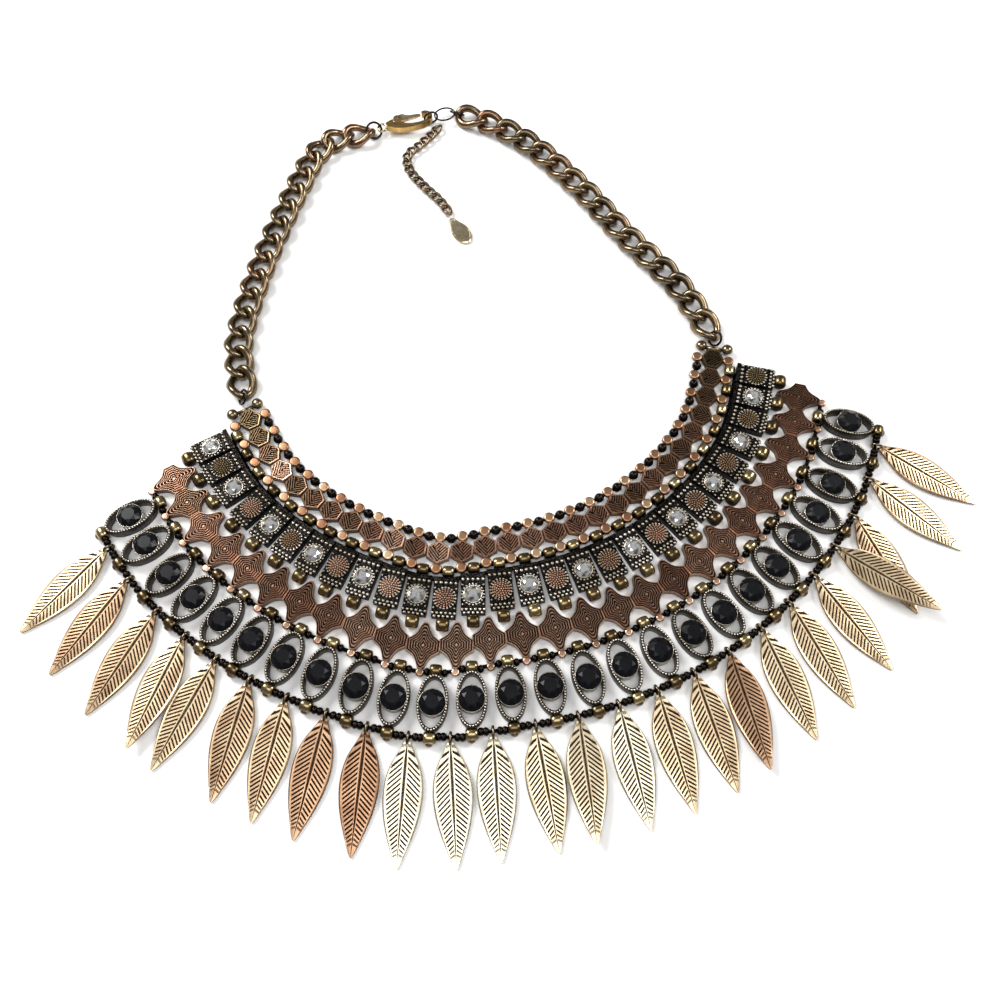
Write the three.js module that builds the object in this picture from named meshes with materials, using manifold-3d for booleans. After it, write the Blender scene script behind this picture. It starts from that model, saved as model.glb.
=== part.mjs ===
// Bib necklace: a netted bib of metal pieces with leaf drops, two curb chains, a lobster
// clasp and an extension chain, all lying flat on z = 0. Units are millimetres, +Z up;
// the bib's drops point to -Y and the clasp lies at +Y.
import * as THREE from 'three';
import { mergeVertices } from 'three/addons/utils/BufferGeometryUtils.js';
import Module from 'manifold-3d';

const wasm = await Module();
wasm.setup();

// Offset that brings the centre of the whole outline to the origin.
const BASE = { x: -3.44, y: -26.32 };

// Neckline: the line through the hexagons' centres, from the left end to the right end.
const NECKLINE = [
  [-83.8, 36.9], [-64.6, 6.6], [-33.6, -11.8], [2.5, -14.5], [36.5, -1.5], [61.1, 24.4],
  [70.7, 58.7],
];

// Left of the middle the net sags away from the neck: how far, where along the neckline,
// and how quickly the sag dies out on either side of that place.
const SAG = { shallow: 1.1, deep: 1.8, place: 89, wide: 30, narrow: 11 };

// Netted rows: count of pieces, distance out from the neckline, and where on the neckline
// the first and the last piece stand.
const ROWS = {
  hexagon: { count: 29, out: 0, first: 11.6, last: 207.5 },
  tile: { count: 28, out: 14.3, first: 15.4, last: 202.5 },
  star: { count: 27, out: 28.3, first: 18.9, last: 199.3 },
  oval: { count: 26, out: 44.4, first: 23.0, last: 194.2 },
};

// How far each piece is drawn from its even place to the gap in the row before it.
const PULL = 0.5;

// Strings of beads that run between the rows (height is that of the thread).
const NECK_STRING = { out: -5.0, radius: 1.3, height: 1.9, overrun: 3.4, cover: 1.9 };
const SECOND_STRING = { out: 5.3, radius: 1.65, height: 1.9, overrun: 3.4, cover: 1.9 };
const TILE_BEAD = { out: 21.7, radius: 2.0, half: 1.9 };
const OVAL_BEAD = { out: 35.35, radius: 1.65, half: 1.7 };
const EDGE_STRING = { out: 53.5, radius: 1.45, height: 1.75 };

const HEXAGON = { tip: 3.35, flat: 1.8, thick: 2.6 };
const TILE = { half: 3.75, top: 6.6, bottom: 5.8, shoulder: 1.4, thick: 3.4, stone: 2.6 };
const STAR = { tip: 6.9, side: 1.6, waist: 3.1, waistHalf: 1.9, thick: 2.5 };
const OVAL = { halfWidth: 4.4, halfLength: 7.85, wall: 0.8, thick: 4.2, stone: 3.6, crown: 1.1 };
const LEAF = { length: 32, halfWidth: 5.35, thick: 0.9, rootGap: 1.75, rootHeight: 1.3 };

// Each leaf's heading on the table (degrees, 0 = +X, -90 = -Y) and how high its tip lies
// where it rests on its neighbour.
const LEAVES = [
  { heading: -130, tip: 0 }, { heading: -123, tip: 0 }, { heading: -118, tip: 0 },
  { heading: -109, tip: 2.6 }, { heading: -115, tip: 0 }, { heading: -102, tip: 0 },
  { heading: -101, tip: 0 }, { heading: -101, tip: 0 }, { heading: -94, tip: 0 },
  { heading: -93, tip: 0 }, { heading: -86, tip: 0 }, { heading: -86, tip: 0 },
  { heading: -80, tip: 0 }, { heading: -84, tip: 2.6 }, { heading: -78, tip: 0 },
  { heading: -76, tip: 0 }, { heading: -74, tip: 0 }, { heading: -77, tip: 2.4 },
  { heading: -69, tip: 0 }, { heading: -64, tip: 0 }, { heading: -56, tip: 0 },
  { heading: -38, tip: 4.9 }, { heading: -65, tip: 0 }, { heading: -43, tip: 0 },
  { heading: -35, tip: 0 },
];

// Curb chains: the line through the links' centres.
const LINK = {
  count: 16, steps: 8, halfWidth: 3.6, wire: 1.3, lap: 0.12, twist: -0.66, height: 2.35,
};
const LEFT_CHAIN = [
  [-82.3, 39.8], [-84.9, 55.5], [-82.3, 77.0], [-77.2, 99.5], [-70.6, 122.5], [-66.2, 134.8],
  [-60.2, 141.4], [-51.3, 144.4],
];
const RIGHT_CHAIN = [
  [-10.4, 152.6], [-2.8, 149.6], [12.0, 138.6], [28.4, 119.6], [43.0, 98.8], [58.9, 78.6],
  [67.6, 61.5],
];

// Jump rings: `at` says which end of which chain, `side` is the tilt's sense round the chain.
const RINGS = [
  { name: 'jump_ring_left', route: LEFT_CHAIN, end: 1, z: 2.65, radius: 2.75, wire: 0.42 },
  { name: 'jump_ring_right', route: RIGHT_CHAIN, end: 0, z: 2.6, radius: 2.5, wire: 0.4 },
  { name: 'end_ring_left', route: LEFT_CHAIN, end: 0, z: 2.4, radius: 2.3, wire: 0.4 },
  { name: 'end_ring_right', route: RIGHT_CHAIN, end: 1, z: 2.4, radius: 2.3, wire: 0.4 },
];
const RING_TILT = 0.87;
const LINK_TO_RING = 2.05;

// Lobster clasp, in its own frame: eye at the origin, nose along +X.
const CLASP = { x: -42.9, y: 147.2, height: 1.65, heading: 16, thick: 2.4, cheek: 0.4 };
const LEVER = { x: 6.8, y: 2.0, low: 0.65, thick: 1.1, hole: 0.8, pin: 0.5 };
const HOOK_RING = { x: 18.3, radius: 2.4, wire: 0.38 };
const BAIL = {
  x: -20.35, y: 154.15, z: 2.6, heading: 22, halfLength: 3.75, halfWidth: 2.9, wire: 0.25,
};

const EXTENSION = { radius: 1.5, height: 1.55 };
const EXTENSION_ROUTE = [
  [-22.4, 148.8], [-25.2, 144.8], [-29.0, 140.3], [-33.2, 135.4], [-32.4, 128.6],
  [-27.0, 121.2], [-21.4, 114.9], [-17.9, 109.4],
];
const TAG = { x: -17.2, y: 107.2, heading: -57.6, length: 12.6, halfWidth: 3.2, thick: 0.9, height: 0.3 };

const METAL = {
  antiqueCopper: { color: 0x7a5a48, roughness: 0.38, metalness: 1 },
  antiqueBrass: { color: 0x8a7148, roughness: 0.34, metalness: 1 },
  gunmetal: { color: 0x2b2622, roughness: 0.3, metalness: 1 },
  paleGold: { color: 0xcfae7c, roughness: 0.33, metalness: 1 },
  bronze: { color: 0x6e5e46, roughness: 0.36, metalness: 1 },
};

const neck = new THREE.SplineCurve(NECKLINE.map((p) => new THREE.Vector2(p[0], p[1])));
const neckLength = neck.getLength();

function sag(s) {
  const far = s - SAG.place;
  const soft = far < 0 ? SAG.wide : SAG.narrow;
  return SAG.shallow * Math.exp(-((far / soft) ** 2)) + SAG.deep * Math.exp(-((far / SAG.narrow) ** 2));
}

// Point and direction on the line that runs `out` mm outside the neckline.
function station(s, out) {
  const u = s / neckLength;
  const p = neck.getPointAt(u);
  const t = neck.getTangentAt(u);
  const away = out + sag(s);
  return { x: p.x + t.y * away, y: p.y - t.x * away, tx: t.x, ty: t.y };
}

// World point of a local one: `along` the row, `out` from the neckline.
function at(s, along, out) {
  const f = station(s, out);
  return new THREE.Vector2(f.x + f.tx * along, f.y + f.ty * along);
}

// Neckline positions of a row's pieces, evenly spaced along the row's own line.
function spread(row) {
  const steps = 400;
  const sums = [0];
  let before = station(row.first, row.out);
  for (let i = 1; i <= steps; i += 1) {
    const now = station(row.first + ((row.last - row.first) * i) / steps, row.out);
    sums.push(sums[i - 1] + Math.hypot(now.x - before.x, now.y - before.y));
    before = now;
  }
  return Array.from({ length: row.count }, (_, k) => {
    const want = (sums[steps] * k) / (row.count - 1);
    let i = 1;
    while (i < steps && sums[i] < want) i += 1;
    const part = (want - sums[i - 1]) / (sums[i] - sums[i - 1]);
    return row.first + ((row.last - row.first) * (i - 1 + part)) / steps;
  });
}

function middles(list) {
  return list.slice(1).map((s, i) => (s + list[i]) / 2);
}

// Each piece stands between its even place in the row and the gap in the row before it.
function settle(row, before) {
  const gaps = middles(before);
  return spread(row).map((s, i) => (1 - PULL) * s + PULL * gaps[i]);
}

// The lines between neighbours, with one more half step at each end.
function borders(list) {
  const inner = middles(list);
  const last = list.length - 1;
  return [2 * list[0] - inner[0], ...inner, 2 * list[last] - inner[last - 1]];
}

const places = { hexagon: spread(ROWS.hexagon) };
places.tile = settle(ROWS.tile, places.hexagon);
places.star = settle(ROWS.star, places.tile);
places.oval = settle(ROWS.oval, places.star);
places.leaf = middles(places.oval);

function solidOf(geometry) {
  const plain = geometry.index ? geometry.clone() : geometry;
  plain.deleteAttribute('normal');
  plain.deleteAttribute('uv');
  const welded = mergeVertices(plain, 1e-4);
  return new wasm.Manifold(new wasm.Mesh({
    numProp: 3,
    vertProperties: new Float32Array(welded.attributes.position.array),
    triVerts: new Uint32Array(welded.index.array),
  }));
}

function geometryOf(solid) {
  const mesh = solid.getMesh();
  const geometry = new THREE.BufferGeometry();
  geometry.setAttribute('position', new THREE.BufferAttribute(new Float32Array(mesh.vertProperties), 3));
  geometry.setIndex(new THREE.BufferAttribute(new Uint32Array(mesh.triVerts), 1));
  return geometry;
}

function joined(geometries) {
  return geometryOf(geometries.map(solidOf).reduce((all, one) => all.add(one)));
}

function plate(points, low, thick, holes = []) {
  const shape = new THREE.Shape(THREE.ShapeUtils.isClockWise(points) ? points.reverse() : points);
  holes.forEach((hole) => shape.holes.push(new THREE.Path(hole)));
  const geometry = new THREE.ExtrudeGeometry(shape, { depth: thick, bevelEnabled: false });
  return geometry.translate(0, 0, low);
}

// A string of beads: a capped cylinder bent along the stops, its radius set at each stop.
function beadString(stops, height, sides) {
  const geometry = new THREE.CylinderGeometry(1, 1, 1, sides, stops.length - 1, false);
  const place = geometry.attributes.position;
  for (let i = 0; i < place.count; i += 1) {
    const k = Math.round((0.5 - place.getY(i)) * (stops.length - 1));
    const stop = stops[k];
    const f = station(stop.s, stop.out);
    const side = -place.getX(i) * stop.radius;
    place.setXYZ(i, f.x + f.ty * side, f.y - f.tx * side, height + place.getZ(i) * stop.radius);
  }
  return geometry;
}

// A barrel bead lying along its row.
function barrel(s, spec) {
  const f = station(s, spec.out);
  const bead = new THREE.CylinderGeometry(spec.radius, spec.radius, spec.half * 2, 6, 1);
  return bead.rotateZ(Math.PI / 2 + Math.atan2(f.ty, f.tx)).translate(f.x, f.y, spec.radius);
}

// A string of beads too fine to show one by one, below the ovals or the stars.
function fineString(spec) {
  const stops = places.oval.map((s) => ({ s, out: spec.out, radius: spec.radius }));
  return beadString(stops, spec.height, 6);
}

function edgeString(spec, list) {
  const first = list[0] - spec.overrun;
  const last = list[list.length - 1] + spec.overrun;
  const stop = (s, radius) => ({ s, out: spec.out, radius });
  return beadString([
    stop(first - 1.7, 0.7), stop(first, spec.cover), stop(first + 1.7, spec.radius),
    ...list.slice(1, -1).map((s) => stop(s, spec.radius)),
    stop(last - 1.7, spec.radius), stop(last, spec.cover), stop(last + 1.7, 0.7),
  ], spec.height, 6);
}

function hexagonRow() {
  const list = places.hexagon;
  const ends = borders(list);
  const inner = [];
  const outer = [];
  ends.forEach((s, i) => {
    inner.push(at(s, 0, -HEXAGON.flat));
    outer.push(at(s, 0, HEXAGON.flat));
    if (i < list.length) {
      inner.push(at(list[i], 0, -HEXAGON.tip));
      outer.push(at(list[i], 0, HEXAGON.tip));
    }
  });
  return plate([...outer, ...inner.reverse()], 0, HEXAGON.thick);
}

function tileRow() {
  const mid = ROWS.tile.out;
  const inner = [];
  const outer = [];
  places.tile.forEach((s) => {
    const corner = (side, out) => at(s, side * TILE.half, mid + out);
    const low = -TILE.top + TILE.shoulder;
    const high = TILE.bottom - TILE.shoulder;
    inner.push(corner(-1, low), corner(-1, -TILE.top), corner(1, -TILE.top), corner(1, low));
    outer.push(corner(-1, high), corner(-1, TILE.bottom), corner(1, TILE.bottom), corner(1, high));
  });
  const bases = places.tile.map((s, i) => {
    const clear = i % 2 === 0;
    const stone = new THREE.CylinderGeometry(clear ? 1.5 : 1.7, TILE.stone, clear ? 1.4 : 0.9, 6, 1);
    const p = at(s, 0, mid);
    return stone.rotateX(Math.PI / 2).translate(p.x, p.y, TILE.thick + (clear ? 0.4 : 0.25));
  });
  const beads = places.tile.map((s) => barrel(s, TILE_BEAD));
  return joined([plate([...outer, ...inner.reverse()], 0, TILE.thick), ...bases, ...beads]);
}

function starRow() {
  const list = places.star;
  const mid = ROWS.star.out;
  const inner = [];
  const outer = [];
  borders(list).forEach((s, i) => {
    inner.push(at(s, 0, mid - STAR.side));
    outer.push(at(s, 0, mid + STAR.side));
    if (i < list.length) {
      const here = list[i];
      const waist = STAR.waistHalf;
      const point = (side, out) => at(here, side * waist, mid + out);
      inner.push(point(-1, -STAR.waist), point(0, -STAR.tip), point(1, -STAR.waist));
      outer.push(point(-1, STAR.waist), point(0, STAR.tip), point(1, STAR.waist));
    }
  });
  return plate([...outer, ...inner.reverse()], 0, STAR.thick);
}

// One oval frame with its stone across the middle, open above and below it.
function ovalFrame(s) {
  const mid = ROWS.oval.out;
  const f = station(s, mid);
  const spot = (x, y) => new THREE.Vector2(f.x + f.tx * x + f.ty * y, f.y + f.ty * x - f.tx * y);
  const rim = Array.from({ length: 10 }, (_, k) => {
    const turn = (k / 10) * 2 * Math.PI + Math.PI / 2;
    return spot(OVAL.halfWidth * Math.cos(turn), OVAL.halfLength * Math.sin(turn));
  });
  const opening = (sign) => [
    spot(-2.5, sign * 3.9), spot(-1.2, sign * 6.4), spot(1.2, sign * 6.4), spot(2.5, sign * 3.9),
  ];
  const frame = plate(rim, 0, OVAL.thick, [opening(1), opening(-1)]);
  const stone = new THREE.CylinderGeometry(2.1, OVAL.stone, OVAL.crown, 6, 1)
    .rotateX(Math.PI / 2).translate(f.x, f.y, OVAL.thick + OVAL.crown / 2 - 0.15);
  return [frame, stone, barrel(s, OVAL_BEAD)];
}

function ovalRow() {
  return joined([fineString(EDGE_STRING), ...places.oval.flatMap(ovalFrame)]);
}

// A flat pointed leaf lying from its root on the edge string down to its tip.
function leafMesh(index, s) {
  const spec = LEAVES[index];
  const widths = [[0, 0.9], [5.5, 3.9], [13.5, LEAF.halfWidth], [23.5, 3.7], [LEAF.length, 0.3]];
  const side = (sign) => widths.map((w) => new THREE.Vector2(w[0], sign * w[1]));
  const blade = plate([...side(-1), ...side(1).reverse()], 0, LEAF.thick);
  const root = station(s, EDGE_STRING.out + LEAF.rootGap);
  const rise = Math.asin((spec.tip - LEAF.rootHeight) / LEAF.length);
  const mesh = finish(`leaf_${String(index + 1).padStart(2, '0')}`, blade, METAL.paleGold);
  mesh.rotation.set(0, -rise, (spec.heading * Math.PI) / 180, 'ZYX');
  mesh.position.set(root.x, root.y, LEAF.rootHeight);
  return mesh;
}

// A closed wire ring whose centre line is an ellipse, its wire of even thickness.
function ellipseRing(halfLength, halfWidth, wire, sides, steps) {
  const mean = (halfLength + halfWidth) / 2;
  const geometry = new THREE.TorusGeometry(mean, wire, sides, steps);
  const place = geometry.attributes.position;
  for (let i = 0; i < place.count; i += 1) {
    const turn = Math.atan2(place.getY(i), place.getX(i));
    place.setX(i, place.getX(i) + (halfLength - mean) * Math.cos(turn));
    place.setY(i, place.getY(i) + (halfWidth - mean) * Math.sin(turn));
  }
  return geometry;
}

// One curb link centred on the origin, lying along X, its ends twisted opposite ways.
function curbLink(halfLength) {
  const geometry = ellipseRing(halfLength, LINK.halfWidth, LINK.wire, 4, LINK.steps);
  const place = geometry.attributes.position;
  for (let i = 0; i < place.count; i += 1) {
    const y = place.getY(i);
    const z = place.getZ(i);
    const twist = (LINK.twist * place.getX(i)) / halfLength;
    place.setY(i, y * Math.cos(twist) - z * Math.sin(twist));
    place.setZ(i, y * Math.sin(twist) + z * Math.cos(twist));
  }
  return geometry;
}

function curve(route) {
  return new THREE.SplineCurve(route.map((p) => new THREE.Vector2(p[0], p[1])));
}

// Half the length of a link, so that each one bears on the next.
function linkHalf(line) {
  return line.getLength() / (LINK.count - 1) / 2 + LINK.wire - LINK.lap;
}

function curbChain(route) {
  const line = curve(route);
  return joined(Array.from({ length: LINK.count }, (_, i) => {
    const u = i / (LINK.count - 1);
    const p = line.getPointAt(u);
    const t = line.getTangentAt(u);
    return curbLink(linkHalf(line)).rotateZ(Math.atan2(t.y, t.x)).translate(p.x, p.y, LINK.height);
  }));
}

// A jump ring through a chain's end link, tilted against that link's twist.
function ringMesh(spec) {
  const line = curve(spec.route);
  const p = line.getPointAt(spec.end);
  const t = line.getTangentAt(spec.end);
  const sense = spec.end === 1 ? 1 : -1;
  const reach = (linkHalf(line) + spec.radius - LINK_TO_RING) * sense;
  const ring = new THREE.TorusGeometry(spec.radius, spec.wire, 4, 10);
  ring.rotateX(sense * RING_TILT).rotateZ(Math.atan2(t.y, t.x));
  const mesh = finish(spec.name, ring, METAL.gunmetal);
  mesh.position.set(p.x + t.x * reach, p.y + t.y * reach, spec.z);
  return mesh;
}

function flat(points) {
  return points.map((p) => new THREE.Vector2(p[0], p[1]));
}

function polygon(x, y, radius, sides) {
  return Array.from({ length: sides }, (_, k) => [
    x + radius * Math.cos((2 * Math.PI * k) / sides),
    y + radius * Math.sin((2 * Math.PI * k) / sides),
  ]);
}

// The clasp's hook with its thin eye, and two cheeks with the lever's pin between them.
function claspBody() {
  const hook = [
    [1.5, -0.9], [2.6, -1.4], [5, -2.8], [9, -3.5], [14, -3.4], [17.4, -2.4], [19, -0.4], [18.8, 1.6],
    [17.2, 2.9], [15.3, 2.9], [15.3, 1.8], [16.5, 1.5], [17.2, 0.6], [17.0, -0.8], [15.4, -1.8],
    [11, -1.9], [8.4, -1.2], [7.2, 0.3], [5.0, 0.6], [4.6, 2.2], [2.4, 1.3], [1.5, 0.9],
  ];
  const eye = [[-1.7, 0], [-1.1, -1.7], [0.6, -2.1], [2.0, -1.0], [2.0, 1.0], [0.6, 2.1], [-1.1, 1.7]];
  const eyeHole = [[-0.9, -0.9], [0.2, -1.35], [0.9, -0.8], [0.9, 0.8], [0.2, 1.35], [-0.9, 0.9]];
  const cheek = [[4.4, 0.2], [7.4, -0.1], [8.2, 2.6], [6.8, 3.3], [4.9, 3.0]];
  const eyeThick = 0.9;
  return joined([
    plate(flat(hook), 0, CLASP.thick),
    plate(flat(eye), (CLASP.thick - eyeThick) / 2, eyeThick, [flat(eyeHole)]),
    plate(flat(cheek), 0, CLASP.cheek),
    plate(flat(cheek), CLASP.thick - CLASP.cheek, CLASP.cheek),
    plate(flat(polygon(LEVER.x, LEVER.y, LEVER.pin, 8)), 0.1, CLASP.thick - 0.2),
  ]);
}

function claspLever() {
  const outline = [
    [5.5, 1.3], [6.6, 0.8], [8.4, 0.9], [14.9, 1.6], [14.9, 2.7], [10, 3.0], [8.6, 4.3],
    [7.0, 4.1], [5.4, 2.9],
  ];
  const hole = polygon(LEVER.x, LEVER.y, LEVER.hole, 8);
  return plate(flat(outline), LEVER.low, LEVER.thick, [flat(hole)]);
}

function claspMesh(name, geometry, look) {
  const mesh = finish(name, geometry, look);
  mesh.rotation.z = (CLASP.heading * Math.PI) / 180;
  mesh.position.set(CLASP.x, CLASP.y, CLASP.height);
  return mesh;
}

// The upright ring that the clasp hooks, round the clasp's nose.
function hookRing() {
  const ring = new THREE.TorusGeometry(HOOK_RING.radius, HOOK_RING.wire, 4, 10).rotateX(Math.PI / 2);
  return claspMesh('hook_ring', ring.translate(HOOK_RING.x, 0, CLASP.thick / 2), METAL.gunmetal);
}

// The bent wire link between the hook ring and the right jump ring.
function bailLink() {
  const link = ellipseRing(BAIL.halfLength, BAIL.halfWidth, BAIL.wire, 4, 10);
  const mesh = finish('bail_link', link, METAL.gunmetal);
  mesh.rotation.z = (BAIL.heading * Math.PI) / 180;
  mesh.position.set(BAIL.x, BAIL.y, BAIL.z);
  return mesh;
}

function extensionChain() {
  const point = (p) => new THREE.Vector3(p[0], p[1], EXTENSION.height);
  const route = new THREE.CatmullRomCurve3(EXTENSION_ROUTE.map(point));
  const section = new THREE.Shape(Array.from({ length: 6 }, (_, k) => new THREE.Vector2(
    EXTENSION.radius * Math.cos((k * Math.PI) / 3),
    EXTENSION.radius * Math.sin((k * Math.PI) / 3),
  )));
  return new THREE.ExtrudeGeometry(section, { steps: 16, extrudePath: route, bevelEnabled: false });
}

function tagMesh() {
  const outline = [[0, 0.9], [0, -0.9], [2.4, -1.7], [5.2, -3], [8.2, -3.2], [11, -2.2], [12.6, 0]];
  const mirror = outline.slice(2, -1).reverse().map((p) => [p[0], -p[1]]);
  const point = (p) => new THREE.Vector2(p[0], p[1]);
  const mesh = finish('tag', plate([...outline, ...mirror].map(point), 0, TAG.thick), METAL.paleGold);
  mesh.rotation.z = (TAG.heading * Math.PI) / 180;
  mesh.position.set(TAG.x, TAG.y, TAG.height);
  return mesh;
}

function finish(name, geometry, look) {
  const mesh = new THREE.Mesh(geometry, new THREE.MeshStandardMaterial(look));
  mesh.name = name;
  return mesh;
}

const necklace = new THREE.Group();
necklace.position.set(BASE.x, BASE.y, 0);
necklace.add(
  finish('neck_bead_string', edgeString(NECK_STRING, places.hexagon), METAL.gunmetal),
  finish('hexagon_row', hexagonRow(), METAL.antiqueCopper),
  finish('second_bead_string', edgeString(SECOND_STRING, places.hexagon), METAL.antiqueBrass),
  finish('granulated_tile_row', tileRow(), METAL.bronze),
  finish('star_row', starRow(), METAL.antiqueCopper),
  finish('oval_setting_row', ovalRow(), METAL.bronze),
  finish('chain_left', curbChain(LEFT_CHAIN), METAL.bronze),
  finish('chain_right', curbChain(RIGHT_CHAIN), METAL.bronze),
  claspMesh('clasp_body', claspBody(), METAL.paleGold),
  claspMesh('clasp_lever', claspLever(), METAL.paleGold),
  hookRing(),
  bailLink(),
  finish('extension_chain', extensionChain(), METAL.bronze),
  tagMesh(),
  ...RINGS.map(ringMesh),
  ...places.leaf.map((s, i) => leafMesh(i, s)),
);

export default necklace;
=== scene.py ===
"""Bib necklace: netted rows of metal pieces with leaf drops, two curb chains and a lobster clasp."""
import math

import bmesh
import bpy
import numpy as np
from mathutils import Euler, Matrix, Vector


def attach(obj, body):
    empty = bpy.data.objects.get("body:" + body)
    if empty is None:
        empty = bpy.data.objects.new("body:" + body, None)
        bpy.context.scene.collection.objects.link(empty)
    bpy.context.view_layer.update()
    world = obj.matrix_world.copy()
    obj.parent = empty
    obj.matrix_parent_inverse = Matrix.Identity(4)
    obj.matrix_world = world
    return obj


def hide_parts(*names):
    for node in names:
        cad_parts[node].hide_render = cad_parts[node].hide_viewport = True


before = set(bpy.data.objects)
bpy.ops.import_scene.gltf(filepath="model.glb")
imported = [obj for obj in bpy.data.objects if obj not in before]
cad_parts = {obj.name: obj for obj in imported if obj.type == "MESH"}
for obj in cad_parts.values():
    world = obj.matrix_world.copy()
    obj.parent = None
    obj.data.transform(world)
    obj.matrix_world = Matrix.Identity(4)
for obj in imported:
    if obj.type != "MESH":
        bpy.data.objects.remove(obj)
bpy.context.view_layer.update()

bl_info = {
    "name": "Bib necklace",
    "version": (1, 0, 0),
    "blender": (4, 5, 0),
    "location": "View3D > Sidebar > Bib necklace",
    "description": "Builds the pieces of a netted bib necklace round its solid model",
    "category": "Object",
}

MM = 0.001
BODY, LEVER_BODY = "necklace", "lever"

# ---------------------------------------------------------------- layout, in millimetres

# The lines' own origin, seen from the necklace's frame.
BASE = np.array([-3.44, -26.32])
NECKLINE = [
    (-83.8, 36.9), (-64.6, 6.6), (-33.6, -11.8), (2.5, -14.5), (36.5, -1.5), (61.1, 24.4), (70.7, 58.7),
]
LEFT_CHAIN = [
    (-82.3, 39.8), (-84.9, 55.5), (-82.3, 77.0), (-77.2, 99.5),
    (-70.6, 122.5), (-66.2, 134.8), (-60.2, 141.4), (-51.3, 144.4),
]
RIGHT_CHAIN = [
    (-10.4, 152.6), (-2.8, 149.6), (12.0, 138.6), (28.4, 119.6), (43.0, 98.8), (58.9, 78.6), (67.6, 61.5),
]
EXTENSION_ROUTE = [
    (-22.4, 148.8), (-25.2, 144.8), (-29.0, 140.3), (-33.2, 135.4),
    (-32.4, 128.6), (-27.0, 121.2), (-21.4, 114.9), (-17.9, 109.4),
]
# Each netted row: how many pieces, how far out from the neckline, and where on it the row starts and ends.
ROW = {
    "hexagon": dict(count=29, out=0.0, first=11.6, last=207.5),
    "tile": dict(count=28, out=14.3, first=15.4, last=202.5),
    "star": dict(count=27, out=28.3, first=18.9, last=199.3),
    "oval": dict(count=26, out=44.4, first=23.0, last=194.2),
}
# How far out from the neckline everything lies that is strung between the rows.
OUT = dict(
    neck_ears=-4.95, neck_string=-4.8, neck_beads=-4.7,
    lower_ears=5.05, second_string=5.4, second_string_beads=5.9,
    tile_string=7.9, tile_beads=21.95,
    oval_top_beads=35.1, oval_string=35.5, oval_side_beads=35.6, star_ears=35.9,
    inner_collars=52.1, leaf_string=53.75, leaf_loops=54.1, leaf_tops=55.25, outer_collars=55.3,
)
# Share of a row's places that follows the gaps of the row above it.
PULL = 0.5

# Each leaf's heading on the table in degrees (0 = +X, -90 = -Y), the height its tip lies at, and
# its colour from cream (0) through golden brown (0.5) to copper (1); the cream of the middle leaves is
# painted highlight.
LEAVES = [
    (-130, 0, 0.36), (-123, 0, 0.52), (-118, 0, 0.50), (-109, 2.6, 0.40), (-115, 0, 0.34),
    (-102, 0, 0.50), (-101, 0, 0.44), (-101, 0, 0.66), (-94, 0, 0.80), (-93, 0, 0.04),
    (-86, 0, 0.02), (-86, 0, 0.06), (-80, 0, 0.24), (-84, 2.6, 0.18), (-78, 0, 0.06),
    (-76, 0, 0.32), (-74, 0, 0.38), (-77, 2.4, 0.62), (-69, 0, 0.30), (-64, 0, 0.34),
    (-56, 0, 0.36), (-38, 4.9, 0.36), (-65, 0, 0.44), (-43, 0, 0.32), (-35, 0, 0.46),
]
LEAF_LENGTH = 32.0
LEAF_HEIGHT = 1.3

# Curb links: each reaches past_pitch beyond half the spacing at both ends, and the last one's
# centre is that and to_ring away from the middle of its jump ring.
LINK = dict(count=16, height=2.35, half_width=3.6, twist=-0.66, past_pitch=1.18, to_ring=2.05)
RING_TILT = 0.87
# Each jump ring: its chain, the end of it (0 or 1), its height, its radius and its wire.
RINGS = {
    "jump_ring_left": (LEFT_CHAIN, 1, 2.65, 2.75, 0.42),
    "jump_ring_right": (RIGHT_CHAIN, 0, 2.6, 2.5, 0.4),
    "end_ring_left": (LEFT_CHAIN, 0, 2.4, 2.3, 0.4),
    "end_ring_right": (RIGHT_CHAIN, 1, 2.4, 2.3, 0.4),
}
CLASP = dict(x=-42.9, y=147.2, turn=math.radians(16), middle=2.85, pin=(6.8, 2.0))
BAIL = dict(place=np.array([-20.35, 154.15]), turn=math.radians(22))
TAG = dict(place=np.array([-17.2, 107.2]), turn=math.radians(-57.6))


class Line:
    """A smooth line on the table through a few points, read by its length."""

    def __init__(self, points):
        p = np.array(points, float)
        padded = np.vstack([p[:1], p, p[-1:]])
        t = np.linspace(0, 1, 200, endpoint=False)[:, None]
        spans = []
        for k in range(len(p) - 1):
            before, a, b, after = padded[k:k + 4]
            u, v = (b - before) / 2, (after - a) / 2
            cubic, square = 2 * a - 2 * b + u + v, -3 * a + 3 * b - 2 * u - v
            spans.append(cubic * t**3 + square * t**2 + u * t + a)
        self.points = np.vstack(spans + [p[-1:]])
        steps = np.linalg.norm(np.diff(self.points, axis=0), axis=1)
        self.sums = np.concatenate([[0], np.cumsum(steps)])
        self.length = self.sums[-1]

    def at(self, s):
        """Point and direction at length s along the line."""
        def place(along):
            return np.array([np.interp(along, self.sums, self.points[:, k]) for k in (0, 1)])

        near = 0.2
        way = place(s + near) - place(s - near)
        return place(s), way / np.linalg.norm(way)


NECK = Line(NECKLINE)

# Left of the middle the net sags away from the neck.
SAG = dict(shallow=1.1, deep=1.8, place=89, wide=30, narrow=11)


def sag(s):
    """How far the net sags away from the neck at length s of the neckline."""
    far = s - SAG["place"]
    soft = SAG["wide"] if far < 0 else SAG["narrow"]
    shallow = SAG["shallow"] * math.exp(-((far / soft) ** 2))
    return shallow + SAG["deep"] * math.exp(-((far / SAG["narrow"]) ** 2))


def station(s, out, along=0.0):
    """Point beside the neckline in the necklace's own frame, and the row's direction there."""
    p, t = NECK.at(s)
    away = np.array([t[1], -t[0]])
    return p + away * (out + sag(s)) + t * along + BASE, t


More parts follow.
